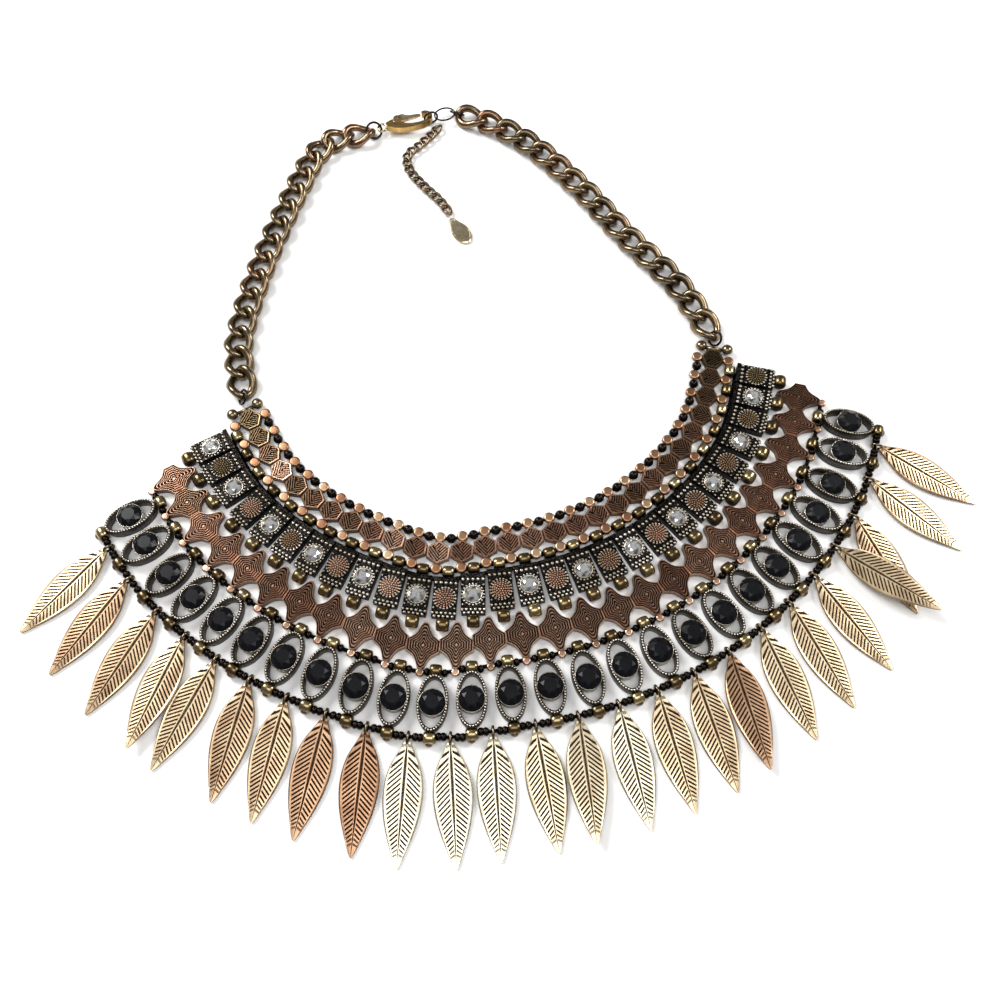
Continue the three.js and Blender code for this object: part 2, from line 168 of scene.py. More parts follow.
def spread(row):
    """Neckline positions of a row's pieces, evenly spaced along the row's own line."""
    s = np.linspace(row["first"], row["last"], 401)
    p = np.array([station(x, row["out"])[0] for x in s])
    sums = np.concatenate([[0], np.cumsum(np.linalg.norm(np.diff(p, axis=0), axis=1))])
    return np.interp(np.linspace(0, sums[-1], row["count"]), sums, s)


def middles(values):
    """The place halfway between each two neighbours."""
    return (values[1:] + values[:-1]) / 2


def settle(row, before):
    """A row's places, drawn towards the gaps between the pieces of the row above."""
    return (1 - PULL) * spread(row) + PULL * middles(before)


PLACES = {"hexagon": spread(ROW["hexagon"])}
PLACES["tile"] = settle(ROW["tile"], PLACES["hexagon"])
PLACES["star"] = settle(ROW["star"], PLACES["tile"])
PLACES["oval"] = settle(ROW["oval"], PLACES["star"])
PLACES["leaf"] = middles(PLACES["oval"])

# ---------------------------------------------------------------- colour and materials


def linear(code):
    """An sRGB hex colour as linear RGBA."""
    parts = [int(code[k:k + 2], 16) / 255 for k in (1, 3, 5)]
    return tuple(c / 12.92 if c <= 0.04045 else ((c + 0.055) / 1.055) ** 2.4 for c in parts) + (1.0,)


def put(tree, kind, links=None, **settings):
    """Adds a node, sets its properties, and gives each named input a value or another node's output."""
    node = tree.nodes.new(kind)
    for key, value in settings.items():
        setattr(node, key, value)
    for key, value in (links or {}).items():
        if isinstance(value, bpy.types.NodeSocket):
            tree.links.new(value, node.inputs[key])
        else:
            node.inputs[key].default_value = value
    return node


def blend_colours(tree, share, a, b):
    """Mixes two colours by a share from 0 to 1."""
    colour_a, colour_b, colour_out = 6, 7, 2
    mix = put(tree, "ShaderNodeMix", {0: share, colour_a: a, colour_b: b}, data_type="RGBA")
    return mix.outputs[colour_out]


def remap(tree, value, low, high, to_low, to_high):
    """A value moved from one range to another."""
    return put(tree, "ShaderNodeMapRange", {
        "Value": value, "From Min": low, "From Max": high, "To Min": to_low, "To Max": to_high,
    }).outputs["Result"]


def grain(tree, size_mm, detail=3.0, rough=0.55):
    """A noise whose patches are about size_mm across on the piece."""
    where = put(tree, "ShaderNodeTexCoord").outputs["Object"]
    return put(tree, "ShaderNodeTexNoise", {
        "Vector": where, "Scale": 1 / (size_mm * MM), "Detail": detail, "Roughness": rough,
    }).outputs["Fac"]


def new_material(name):
    """A material with its node tree and its main shader."""
    material = bpy.data.materials.new(name)
    material.use_nodes = True
    tree = material.node_tree
    return material, tree, tree.nodes["Principled BSDF"]


def plated_metal(name, ramp, patina, sheen=(0.2, 0.36), wear=0.35, relief=0.00002, patch=2.2):
    """Antiqued plating on cast metal: colours picked by each piece's tone, which on some rows also paints
    highlight, worn bright on what stands proud, with a dark oxide left in every recess."""
    material, tree, shader = new_material(name)
    tone = put(tree, "ShaderNodeAttribute", attribute_name="tone").outputs["Fac"]
    depth = put(tree, "ShaderNodeAttribute", attribute_name="groove").outputs["Fac"]
    cloud = grain(tree, patch, 4.0)
    fine = grain(tree, 0.35, 2.0)
    picked = put(tree, "ShaderNodeMath", {
        0: tone, 1: remap(tree, cloud, 0.3, 0.7, -0.12, 0.12),
    }, operation="ADD").outputs[0]
    colours = put(tree, "ShaderNodeValToRGB", {"Fac": picked})
    band = colours.color_ramp.elements
    while len(band) < len(ramp):
        band.new(0.5)
    for element, (place, code) in zip(band, ramp):
        element.position = place
        element.color = linear(code)
    stained = remap(tree, cloud, 0.42, 0.75, 0.0, wear)
    base = blend_colours(tree, stained, colours.outputs["Color"], linear(patina))
    dark = put(tree, "ShaderNodeMath", {
        0: depth, 1: remap(tree, fine, 0.3, 0.7, -0.12, 0.12),
    }, operation="ADD", use_clamp=True).outputs[0]
    tree.links.new(blend_colours(tree, dark, base, linear(patina)), shader.inputs["Base Color"])
    shader.inputs["Metallic"].default_value = 1.0
    gloss = remap(tree, fine, 0.25, 0.75, *sheen)
    dull = put(tree, "ShaderNodeMath", {0: depth, 1: 0.3}, operation="MULTIPLY").outputs[0]
    rough = put(tree, "ShaderNodeMath", {0: gloss, 1: dull}, operation="ADD", use_clamp=True).outputs[0]
    tree.links.new(rough, shader.inputs["Roughness"])
    bump = put(tree, "ShaderNodeBump", {"Height": fine, "Distance": relief, "Strength": 0.6})
    tree.links.new(bump.outputs["Normal"], shader.inputs["Normal"])
    return material


FINISH = {}


def make_materials():
    """Every finish on the necklace."""
    # Antiqued copper plating on cast alloy: brown in the hollows, pinkish where rubbed; the pale pink top of
    # the ramp is painted highlight.
    copper = plated_metal(
        "antiqued_copper_plating",
        [(0.0, "#76684C"), (0.35, "#9A7C62"), (0.7, "#C49A82"), (1.0, "#F2CDB2")], "#080504",
        wear=0.22)
    # Antiqued brass plating on turned beads: olive gold with soft bright tops.
    brass = plated_metal(
        "antiqued_brass_plating",
        [(0.0, "#564834"), (0.5, "#84704E"), (1.0, "#D8C698")], "#0A0705", sheen=(0.16, 0.3), wear=0.4)
    # Cast alloy with black antiquing wiped off the grains, which stay pewter bright; the pale top of the ramp
    # also paints the grains' highlights.
    pewter = plated_metal(
        "blackened_pewter_casting",
        [(0.0, "#8F8576"), (0.5, "#B4A998"), (1.0, "#F0E8DC")], "#060505", sheen=(0.16, 0.3), wear=0.2)
    # Gunmetal plating on small smooth beads: near black, glossy.
    gunmetal = plated_metal(
        "gunmetal_plating", [(0.0, "#1E1916"), (0.5, "#2E2722"), (1.0, "#5A5048")], "#0A0807",
        sheen=(0.14, 0.26), wear=0.2)
    # Antique bronze plating on drawn wire: olive brown with warm golden tops.
    bronze = plated_metal(
        "antique_bronze_plating",
        [(0.0, "#54493A"), (0.5, "#84735A"), (1.0, "#8E6650")], "#100B08", sheen=(0.18, 0.32), wear=0.4)
    # Pale gold plating on stamped sheet, brown oxide rubbed into the engraving; the cream end of the ramp is
    # painted highlight.
    leaf = plated_metal(
        "pale_gold_stamped_sheet",
        [(0.0, "#F8EED2"), (0.3, "#E2CBA6"), (0.6, "#BE9A7A"), (1.0, "#9A7054")], "#1E120B",
        sheen=(0.26, 0.42), wear=0.12, patch=5.0)
    # Polished pale gold plating of the clasp.
    gold = plated_metal(
        "pale_gold_plating",
        [(0.0, "#F0E4C0"), (0.5, "#C8A468"), (1.0, "#8A6A42")], "#2A1C10", sheen=(0.14, 0.28), wear=0.2)
    return dict(copper=copper, brass=brass, pewter=pewter, gunmetal=gunmetal, bronze=bronze,
                leaf=leaf, gold=gold, jet=jet_glass(), crystal=foiled_crystal())


def jet_glass():
    """Pressed black glass, polished: black with small cold reflections on its facets."""
    material, tree, shader = new_material("polished_jet_glass")
    shade = remap(tree, grain(tree, 1.5), 0.3, 0.7, 0.0, 1.0)
    colour = blend_colours(tree, shade, linear("#040406"), linear("#0A0B10"))
    tree.links.new(colour, shader.inputs["Base Color"])
    shader.inputs["Roughness"].default_value = 0.27
    shader.inputs["IOR"].default_value = 1.5
    shader.inputs["Specular IOR Level"].default_value = 0.2
    return material


def foiled_crystal():
    """Cut lead glass over a silver foil back: each facet's base colour is painted bright or grey, a painted
    reflection of a different part of the room.
    """
    material, tree, shader = new_material("foiled_cut_crystal")
    # Painted reflection: the per-facet values laid down by cut_stone pick white or grey for each facet.
    tone = put(tree, "ShaderNodeAttribute", attribute_name="groove").outputs["Fac"]
    shade = put(tree, "ShaderNodeMath", {
        0: tone, 1: remap(tree, grain(tree, 0.9, 1.0), 0.35, 0.65, -0.25, 0.25),
    }, operation="ADD", use_clamp=True).outputs[0]
    colour = blend_colours(tree, shade, linear("#FBFAF6"), linear("#4A4844"))
    tree.links.new(colour, shader.inputs["Base Color"])
    shader.inputs["Metallic"].default_value = 0.85
    shader.inputs["Roughness"].default_value = 0.07
    shader.inputs["Coat Weight"].default_value = 1.0
    shader.inputs["Coat Roughness"].default_value = 0.02
    return material


# ---------------------------------------------------------------- shapes


class Shape:
    """Closed shells gathered into one mesh, in millimetres, each point with its darkening: groove depth on
    metal, painted glint on cut stones.
    """

    def __init__(self):
        self.points, self.faces, self.groove, self.smooth = [], [], [], []

    def add(self, points, faces, groove=0.0, smooth=False):
        """One more shell; the darkening is one value for all of its points or one for each."""
        first = sum(len(p) for p in self.points)
        points = np.array(points, float)
        self.points.append(points)
        self.groove.append(np.broadcast_to(np.array(groove, float), (len(points),)).copy())
        self.faces += [[first + i for i in f] for f in faces]
        self.smooth += [smooth] * len(faces)
        return self

    def stack(self, rings, groove=0.0, smooth=False, loop=False, apex=None):
        """Skin over rings of equal count that turn left seen from where the stack goes, closed
        by a flat face or an apex, or joined into a loop. The groove is one depth for each ring."""
        n, k = len(rings[0]), len(rings)
        points = np.vstack(rings)
        grooves = np.repeat(groove if np.ndim(groove) else [groove] * k, n)
        faces = []
        for r in range(k if loop else k - 1):
            a, b = r * n, ((r + 1) % k) * n
            faces += [[a + i, a + (i + 1) % n, b + (i + 1) % n, b + i] for i in range(n)]
        last = (k - 1) * n
        if not loop:
            faces.append(list(range(n))[::-1])
        if not loop and apex is None:
            faces.append([last + i for i in range(n)])
        if apex is not None:
            points = np.vstack([points, [apex]])
            grooves = np.append(grooves, grooves[-1])
            faces += [[last + i, last + (i + 1) % n, k * n] for i in range(n)]
        return self.add(points, faces, grooves, smooth)

    def mesh(self, name, tone=None):
        """The shells as one mesh in metres, with a tone where the piece isn't repeated."""
        mesh = bpy.data.meshes.new(name)
        points = np.vstack(self.points) * MM
        mesh.from_pydata([tuple(p) for p in points], [], self.faces)
        mesh.polygons.foreach_set("use_smooth", self.smooth)
        layer = mesh.attributes.new("groove", "FLOAT", "POINT")
        layer.data.foreach_set("value", np.concatenate(self.groove).astype(np.float32))
        if tone is not None:
            layer = mesh.attributes.new("tone", "FLOAT", "POINT")
            layer.data.foreach_set("value", np.full(len(points), tone, np.float32))
        mesh.validate(clean_customdata=False)
        mesh.update()
        return mesh


def circle(sides):
    """Evenly spaced angles round a circle."""
    return 2 * np.pi * np.arange(sides) / sides


def ring(radius, z, sides, x=0.0, y=0.0, phase=0.0):
    """Points round a level circle."""
    a = circle(sides) + phase
    return np.column_stack([x + radius * np.cos(a), y + radius * np.sin(a), np.full(sides, z)])


def outline_ring(outline, share, z):
    """An outline about the origin at a share of its size."""
    return np.column_stack([np.array(outline, float) * share, np.full(len(outline), z)])


def dot(shape, x, y, z, radius, sides=6, rise=0.85, groove=(0.9, 0.15, 0.0)):
    """A raised grain: half a ball standing in the surface."""
    rings = [ring(radius, z, sides, x, y), ring(radius * 0.8, z + rise * radius * 0.62, sides, x, y)]
    shape.stack(rings, groove[:2], True, apex=(x, y, z + rise * radius))


def turned(profile, sides):
    """A shell turned about its thread from (along, reach, groove) steps."""
    a = circle(sides)
    rings = [np.column_stack([np.full(sides, along), reach * np.cos(a), reach * np.sin(a)])
             for along, reach, _ in profile]
    return Shape().stack(rings, [groove for _, _, groove in profile], True)


def barrel(radius, half):
    """A bead on its thread: a barrel of length 2 * half whose ends are rounded in."""
    end = [(1.0, 0.35, 1.0), (1.0, 0.72, 0.6), (0.86, 0.9, 0.15), (0.45, 0.995, 0.0)]
    steps = [(-x, r, g) for x, r, g in end] + [(0.0, 1.0, 0.0)] + end[::-1]
    return turned([(half * x, radius * r, g) for x, r, g in steps], 14)


def ball(radius, flat=1.0, sides=12, tiers=7):
    """A round bead, its axis along the thread, with slightly flattened ends."""
    profile = []
    for k in range(1, tiers):
        a = np.pi * k / tiers
        groove = 0.7 if k in (1, tiers - 1) else 0.0
        profile.append((-math.cos(a) * radius * flat, math.sin(a) * radius, groove))
    return turned(profile, sides)


def smooth_through(points, x):
    """A smooth curve's values at x, through (place, value) pairs."""
    px, py = np.array(points, float).T
    slope = np.gradient(py, px)
    k = np.clip(np.searchsorted(px, x) - 1, 0, len(px) - 2)
    h = px[k + 1] - px[k]
    t = (x - px[k]) / h
    return ((2 * t**3 - 3 * t**2 + 1) * py[k] + (t**3 - 2 * t**2 + t) * h * slope[k]
            + (-2 * t**3 + 3 * t**2) * py[k + 1] + (t**3 - t**2) * h * slope[k + 1])


# ---------------------------------------------------------------- repeating with nodes


def repeat_tree(name):
    """Geometry Nodes tree: a copy of one piece at each point, turned as the point says."""
    tree = bpy.data.node_groups.new(name, "GeometryNodeTree")
    face = tree.interface
    for key, kind, value in (
        ("Geometry", "Geometry", None), ("Piece", "Object", None), ("Finish", "Material", None),
        ("Size", "Float", 1.0), ("Jitter", "Float", 0.0), ("Seed", "Int", 7),
    ):
        socket = face.new_socket(key, in_out="INPUT", socket_type="NodeSocket" + kind)
        if value is not None:
            socket.default_value = value
    face.new_socket("Geometry", in_out="OUTPUT", socket_type="NodeSocketGeometry")
    start = put(tree, "NodeGroupInput")
    piece = put(tree, "GeometryNodeObjectInfo", {"Object": start.outputs["Piece"]})
    turns = put(tree, "GeometryNodeInputNamedAttribute", {"Name": "turns"}, data_type="FLOAT_VECTOR")
    sway = put(tree, "FunctionNodeRandomValue", {"Seed": start.outputs["Seed"]}, data_type="FLOAT_VECTOR")
    sway.inputs["Min"].default_value = (-1, -1, -1)
    sway.inputs["Max"].default_value = (1, 1, 1)
    small = put(tree, "ShaderNodeVectorMath", {0: sway.outputs["Value"]}, operation="SCALE")
    tree.links.new(start.outputs["Jitter"], small.inputs["Scale"])
    turned = put(tree, "ShaderNodeVectorMath", {0: turns.outputs["Attribute"], 1: small.outputs[0]},
                 operation="ADD")
    copies = put(tree, "GeometryNodeInstanceOnPoints", {
        "Points": start.outputs["Geometry"], "Instance": piece.outputs["Geometry"],
        "Rotation": turned.outputs[0], "Scale": start.outputs["Size"],
    })
    real = put(tree, "GeometryNodeRealizeInstances", {"Geometry": copies.outputs["Instances"]})
    finished = put(tree, "GeometryNodeSetMaterial", {
        "Geometry": real.outputs["Geometry"], "Material": start.outputs["Finish"],
    })
    put(tree, "NodeGroupOutput", {"Geometry": finished.outputs["Geometry"]})
    return tree


def repeated(name, shape, spots, finish, nodes=(), jitter=0.0):
    """One finished piece: the shape at every spot, each (x, y, z, (turn x, y, z), tone) in millimetres."""
    unit = bpy.data.objects.new(name + "_unit", shape.mesh(name + "_unit"))
    bpy.context.scene.collection.objects.link(unit)
    points = bpy.data.meshes.new(name)
    points.from_pydata([(s[0] * MM, s[1] * MM, s[2] * MM) for s in spots], [], [])
    turns = points.attributes.new("turns", "FLOAT_VECTOR", "POINT")
    turns.data.foreach_set("vector", np.array([s[3] for s in spots], np.float32).ravel())
    tones = points.attributes.new("tone", "FLOAT", "POINT")
    tones.data.foreach_set("value", np.array([s[4] for s in spots], np.float32))
    made = bpy.data.objects.new(name, points)
    bpy.context.scene.collection.objects.link(made)
    tree = bpy.data.node_groups.get("repeat_a_piece") or repeat_tree("repeat_a_piece")
    modifier = made.modifiers.new("repeat", "NODES")
    modifier.node_group = tree
    sockets = {i.name: i.identifier for i in tree.interface.items_tree if i.in_out == "INPUT"}
    inputs = {"Piece": unit, "Finish": FINISH[finish], "Size": 1.0, "Jitter": jitter, "Seed": 7}
    for key, value in inputs.items():
        modifier[sockets[key]] = value
    made.update_tag()
    graph = bpy.context.evaluated_depsgraph_get()
    graph.update()
    mesh = bpy.data.meshes.new_from_object(
        made.evaluated_get(graph), preserve_all_data_layers=True, depsgraph=graph)
    if not len(mesh.polygons):
        raise RuntimeError(f"{name} came out empty")
    made.modifiers.clear()
    made.data = mesh
    mesh.name = name
    bpy.data.objects.remove(unit)
    hand_over(made, nodes)


def single(name, shape, finish, tone, nodes=()):
    """One finished piece made straight from a shape that is already in place."""
    finish_mesh(name, shape.mesh(name, tone), finish, nodes)


def finish_mesh(name, mesh, finish, nodes=(), body=BODY):
    """A mesh made a finished piece."""
    mesh.materials.append(FINISH[finish])
    made = bpy.data.objects.new(name, mesh)
    bpy.context.scene.collection.objects.link(made)
    hand_over(made, nodes, body)


def hand_over(made, nodes=(), body=BODY):
    """Gives a finished piece its body and the solids it stands for."""
    if nodes:
        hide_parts(*nodes)
    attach(made, body)


def row_spots(places, out, tones, z=0.0, along=0.0, extra_turn=0.0):
    """Spots for a row: each piece's local +Y points away from the neck."""
    spots = []
    for i, s in enumerate(places):
        p, t = station(s, out, along)
        turn = math.atan2(t[1], t[0]) + math.pi + extra_turn
        tone = tones[i] if np.ndim(tones) else tones
        spots.append((p[0], p[1], z, (0.0, 0.0, turn), tone))
    return spots


def row_tones(count, centre, ends, seed, scatter):
    """Tones along a row: one value in the middle easing to another at both ends, with scatter."""
    draw = np.random.default_rng(seed)
    x = np.abs(np.linspace(-1, 1, count)) ** 1.5
    return np.clip(centre + (ends - centre) * x + draw.uniform(-scatter, scatter, count), 0, 1)


# ---------------------------------------------------------------- the pieces' own shapes


def clip_line(polygon, point, way):
    """The stretch of a line inside a convex polygon, as two distances along it, if it is long
    enough for a ridge."""
    shortest = 0.35
    low, high = -1e9, 1e9
    n = len(polygon)
    for i in range(n):
        a, b = np.array(polygon[i]), np.array(polygon[(i + 1) % n])
        inward = np.array([-(b - a)[1], (b - a)[0]])
        speed, room = inward @ way, inward @ (np.array(point) - a)
        if abs(speed) < 1e-9:
            if room < 0:
                return None
        elif speed > 0:
            low = max(low, -room / speed)
        else:
            high = min(high, -room / speed)
    return (low, high) if high - low > shortest else None


def hatch(shape, polygon, angle, pitch, z, rise, width):
    """Fine parallel ridges across a flat polygon, each with a sharp crest."""
    most, margin = 12, 0.12
    way = np.array([math.cos(angle), math.sin(angle)])
    side = np.array([-way[1], way[0]])
    base, crest = side * width / 2, side * width / 7
    for k in range(-most, most + 1):
        middle = side * (k * pitch)
        span = clip_line(polygon, middle, way)
        if span is None:
            continue
        points = []
        for end in (span[0] + margin, span[1] - margin):
            p = middle + way * end
            points += [(*(p - base), z), (*(p + base), z), (*(p + crest), z + rise), (*(p - crest), z + rise)]
        faces = [[0, 1, 2, 3], [5, 4, 7, 6], [1, 0, 4, 5], [2, 1, 5, 6], [3, 2, 6, 7], [0, 3, 7, 4]]
        shape.add(points, [f[::-1] for f in faces], [1, 1, 0, 0, 1, 1, 0, 0])


def hexagon_shape():
    """A thick hexagon with a polished bevel, hatched in two directions that meet in a V."""
    shape = Shape()
    corners = [(3.38, -1.7), (3.38, 1.7), (0.4, 3.5), (-0.4, 3.5), (-3.38, 1.7), (-3.38, -1.7),
               (-0.4, -3.5), (0.4, -3.5)]
    levels = [(0.92, 0.15), (1.0, 0.5), (1.0, 2.05), (0.93, 2.4), (0.84, 2.38), (0.8, 2.2)]
    rings = [outline_ring(corners, s, z) for s, z in levels]
    shape.stack(rings, [1.0, 0.9, 0.55, 0.0, 0.0, 1.0])
    slant = math.radians(50)
    meet, foot = (-0.3, 0.05), (-0.3, -2.9)
    one_half = [(2.8, -1.4), (2.8, 1.4), (0.3, 2.9), (-0.3, 2.9), (-0.3, 0.1), (1.9, -2.0)]
    other_half = [(-0.3, 2.9), (-2.8, 1.4), (-2.8, -1.4), foot, meet]
    corner = [meet, foot, (0.3, -2.9), (1.8, -2.0)]
    for field, angle in ((one_half, -slant), (other_half, slant), (corner, slant)):
        hatch(shape, field, angle, pitch=0.7, z=2.12, rise=0.42, width=0.56)
    return shape


def disc_shape(radius, thick):
    """A flat round ear with a rounded edge."""
    shape = Shape()
    levels = [(radius * 0.9, 0.0), (radius, thick * 0.2), (radius, thick * 0.75), (radius * 0.88, thick),
              (radius * 0.6, thick * 1.02)]
    shape.stack([ring(r, z, 16) for r, z in levels], [0.7, 0.5, 0.25, 0.0, 0.05], True)
    return shape


def tile_shape(clear):
    """A cast block with a grained top edge, two grained rows below and a ring of grains."""
    shape = Shape()
    side, head, foot = 3.65, -6.5, 5.75
    top, floor = 3.05, 3.0
    corners = [(side, head + 1.2), (side, foot - 1.1), (side - 0.1, foot), (-side + 0.1, foot),
               (-side, foot - 1.1), (-side, head + 1.2), (-side + 0.2, head), (side - 0.2, head)]
    levels = [(0.93, 0.0), (0.97, 0.4), (0.97, 2.7), (0.93, 3.1)]
    shape.stack([outline_ring(corners, share, z) for share, z in levels], 1.0)
    bar = np.array([(side, head + 0.1), (side, head + 1.3), (-side, head + 1.3), (-side, head + 0.1)])
    shape.stack([np.column_stack([bar, np.full(4, z)]) for z in (2.2, 3.25)], 1.0)
    for k in range(5):
        dot(shape, -2.9 + k * 1.45, head + 1.9, top, 0.58)
    for row, count in ((foot - 1.25, 6), (foot - 0.25, 5)):
        for k in range(count):
            dot(shape, (k - (count - 1) / 2) * 1.28, row, floor, 0.52)
    for a in circle(20):
        dot(shape, 3.15 * math.cos(a), 3.15 * math.sin(a), top, 0.4, 5)
    for x in (-3.05, 3.05):
        for y in (-2.95, 2.95):
            dot(shape, x, y, floor, 0.36, 5)
    if clear:
        cup = [(2.75, 2.9), (2.8, 3.45), (2.6, 3.6), (2.45, 3.35), (2.4, 3.0)]
        shape.stack([ring(r, z, 24) for r, z in cup], [0.8, 0.1, 0.0, 0.5, 0.9], True)
        claws = 8
        for k in range(claws):
            a = 2 * np.pi * (k + 0.5) / claws
            dot(shape, 2.55 * math.cos(a), 2.55 * math.sin(a), 3.4, 0.3, 5, 1.0)
    return shape


def rosette_shape():
    """A low dome of radial grains in five rings."""
    shape = Shape()
    levels = [(2.85, 2.8), (2.8, 3.1), (2.0, 3.35), (1.0, 3.45)]
    shape.stack([ring(r, z, 18) for r, z in levels], 0.9, True)
    dot(shape, 0, 0, 3.4, 0.34, 6)
    for reach, count, z, size in ((0.75, 6, 3.38, 0.3), (1.35, 11, 3.32, 0.31), (1.98, 16, 3.24, 0.32),
                                  (2.58, 20, 3.08, 0.33)):
        for k in range(count):
            a = 2 * np.pi * (k + 0.5 * (count % 2)) / count
            dot(shape, reach * math.cos(a), reach * math.sin(a), z, size, 5)
    return shape


def cut_stone(radius, girdle, table, base, sides=8, painted_glint=0.0):
    """A round brilliant crown: table, star, main and girdle facets over a shallow pavilion. The
    facets' corners differ in darkening by the painted glint, so a painted sparkle of the foil lies under
    them."""
    n, edge = sides, 2 * sides
    points = np.vstack([
        ring(radius * 0.5, base, edge),
        ring(radius, girdle - 0.18 * radius, edge),
        ring(radius, girdle, edge),
        ring(radius * 0.8, girdle + (table - girdle) * 0.62, n, phase=np.pi / n),
        ring(radius * 0.54, table, n)])
    foot, low, high = 0, edge, 2 * edge
    main = 3 * edge
    top = main + n
    faces = [[foot + i for i in range(edge)][::-1]]
    for i in range(edge):
        j = (i + 1) % edge
        faces += [[foot + i, foot + j, low + j, low + i], [low + i, low + j, high + j, high + i]]
    for i in range(n):
        before, after = (i - 1) % n, (i + 1) % n
        even, odd, next_even = high + 2 * i, high + 2 * i + 1, high + (2 * i + 2) % edge
        faces += [[even, odd, main + i], [odd, next_even, main + i]]
        faces += [[even, main + i, top + i, main + before], [top + i, main + i, top + after]]
    faces.append([top + i for i in range(n)])
    # Painted glint: alternating bright and dark values on the facet corners paint the foil's sparkle.
    shade = np.concatenate([np.full(edge, 0.9), np.tile([0.9, 0.1], n), np.tile([0.2, 0.8], n),
                            np.tile([0.0, 1.0], n // 2), np.tile([0.7, 0.0], n // 2)])
    return Shape().add(points, faces, shade * painted_glint)


def star_shape():
    """A concave star with flat sides, covered with nested ridges round a centre dot."""
    shape = Shape()
    quarter = [(4.85, 0.0), (4.85, 1.65), (3.7, 2.3), (2.65, 3.1), (1.95, 4.1), (1.45, 5.2), (1.0, 6.25),
               (0.45, 6.85)]
    mirror = [(-x, y) for x, y in quarter[::-1] if x > 0]
    upper = quarter + [(0, 6.95)] + mirror
    outline = upper + [(-x, -y) for x, y in upper[1:-1]]
    rings = [outline_ring(outline, share, z) for share, z in ((0.93, 0.0), (1.0, 0.5), (1.0, 1.7))]
    grooves = [1.0, 0.8, 0.5]
    ridges, middle, floor = 6, 0.6, 2.05
    step = 1.0 / (ridges + middle)
    for k in range(ridges):
        outer = 1.0 - k / (ridges + middle)
        dish = 0.25 * math.cos(outer * 1.4)
        rings += [outline_ring(outline, outer - inward * step, floor + dish + rise)
                  for inward, rise in ((0.04, 0.2), (0.22, 0.48), (0.36, 0.48), (0.6, 0.0), (0.86, 0.0))]
        grooves += [0.35, 0.0, 0.0, 1.0, 1.0]
    rings += [outline_ring(outline, 0.07, 2.6)]
    grooves += [0.0]
    shape.stack(rings, grooves)
    return shape


def oval_shape():
    """A thin upright oval wall with a milled rim and a round cup across its middle."""
    shape = Shape()
    sides = 40
    a = circle(sides)
    wall = [  # half across, half along, height, groove
        (4.0, 7.5, 0.0, 1.0), (4.35, 7.85, 0.25, 0.95), (4.35, 7.85, 3.5, 0.85), (4.15, 7.65, 3.75, 1.0),
        (3.7, 7.15, 3.75, 1.0), (3.45, 6.9, 3.5, 0.7), (3.45, 6.9, 0.2, 0.9), (3.65, 7.1, 0.0, 1.0)]
    shape.stack([np.column_stack([x * np.cos(a), y * np.sin(a), np.full(sides, z)]) for x, y, z, _ in wall],
                [groove for *_, groove in wall], True, loop=True)
    grains = 46
    turns = np.linspace(0, 2 * np.pi, 721)
    run = np.column_stack([3.98 * np.cos(turns), 7.45 * np.sin(turns)])
    sums = np.concatenate([[0], np.cumsum(np.linalg.norm(np.diff(run, axis=0), axis=1))])
    for s in np.linspace(0, sums[-1], grains, endpoint=False):
        dot(shape, np.interp(s, sums, run[:, 0]), np.interp(s, sums, run[:, 1]), 3.66, 0.4, 5, 0.9,
            (0.9, 0.0, 0.0))
    cup = [(3.0, 0.1), (3.72, 0.5), (3.86, 3.2), (3.84, 3.75), (3.7, 3.85), (3.6, 3.4), (3.3, 2.6)]
    shape.stack([ring(r, z, 28) for r, z in cup], [0.9, 0.7, 0.3, 0.0, 0.0, 0.4, 0.9], True)
    return shape


LEAF_WIDTHS = [(0, 0.95), (2.5, 2.1), (5.5, 3.75), (9.5, 4.95), (13.5, 5.35), (18.5, 4.9), (23.5, 3.65),
               (28.5, 1.8), (31.2, 0.7), (32, 0.25)]


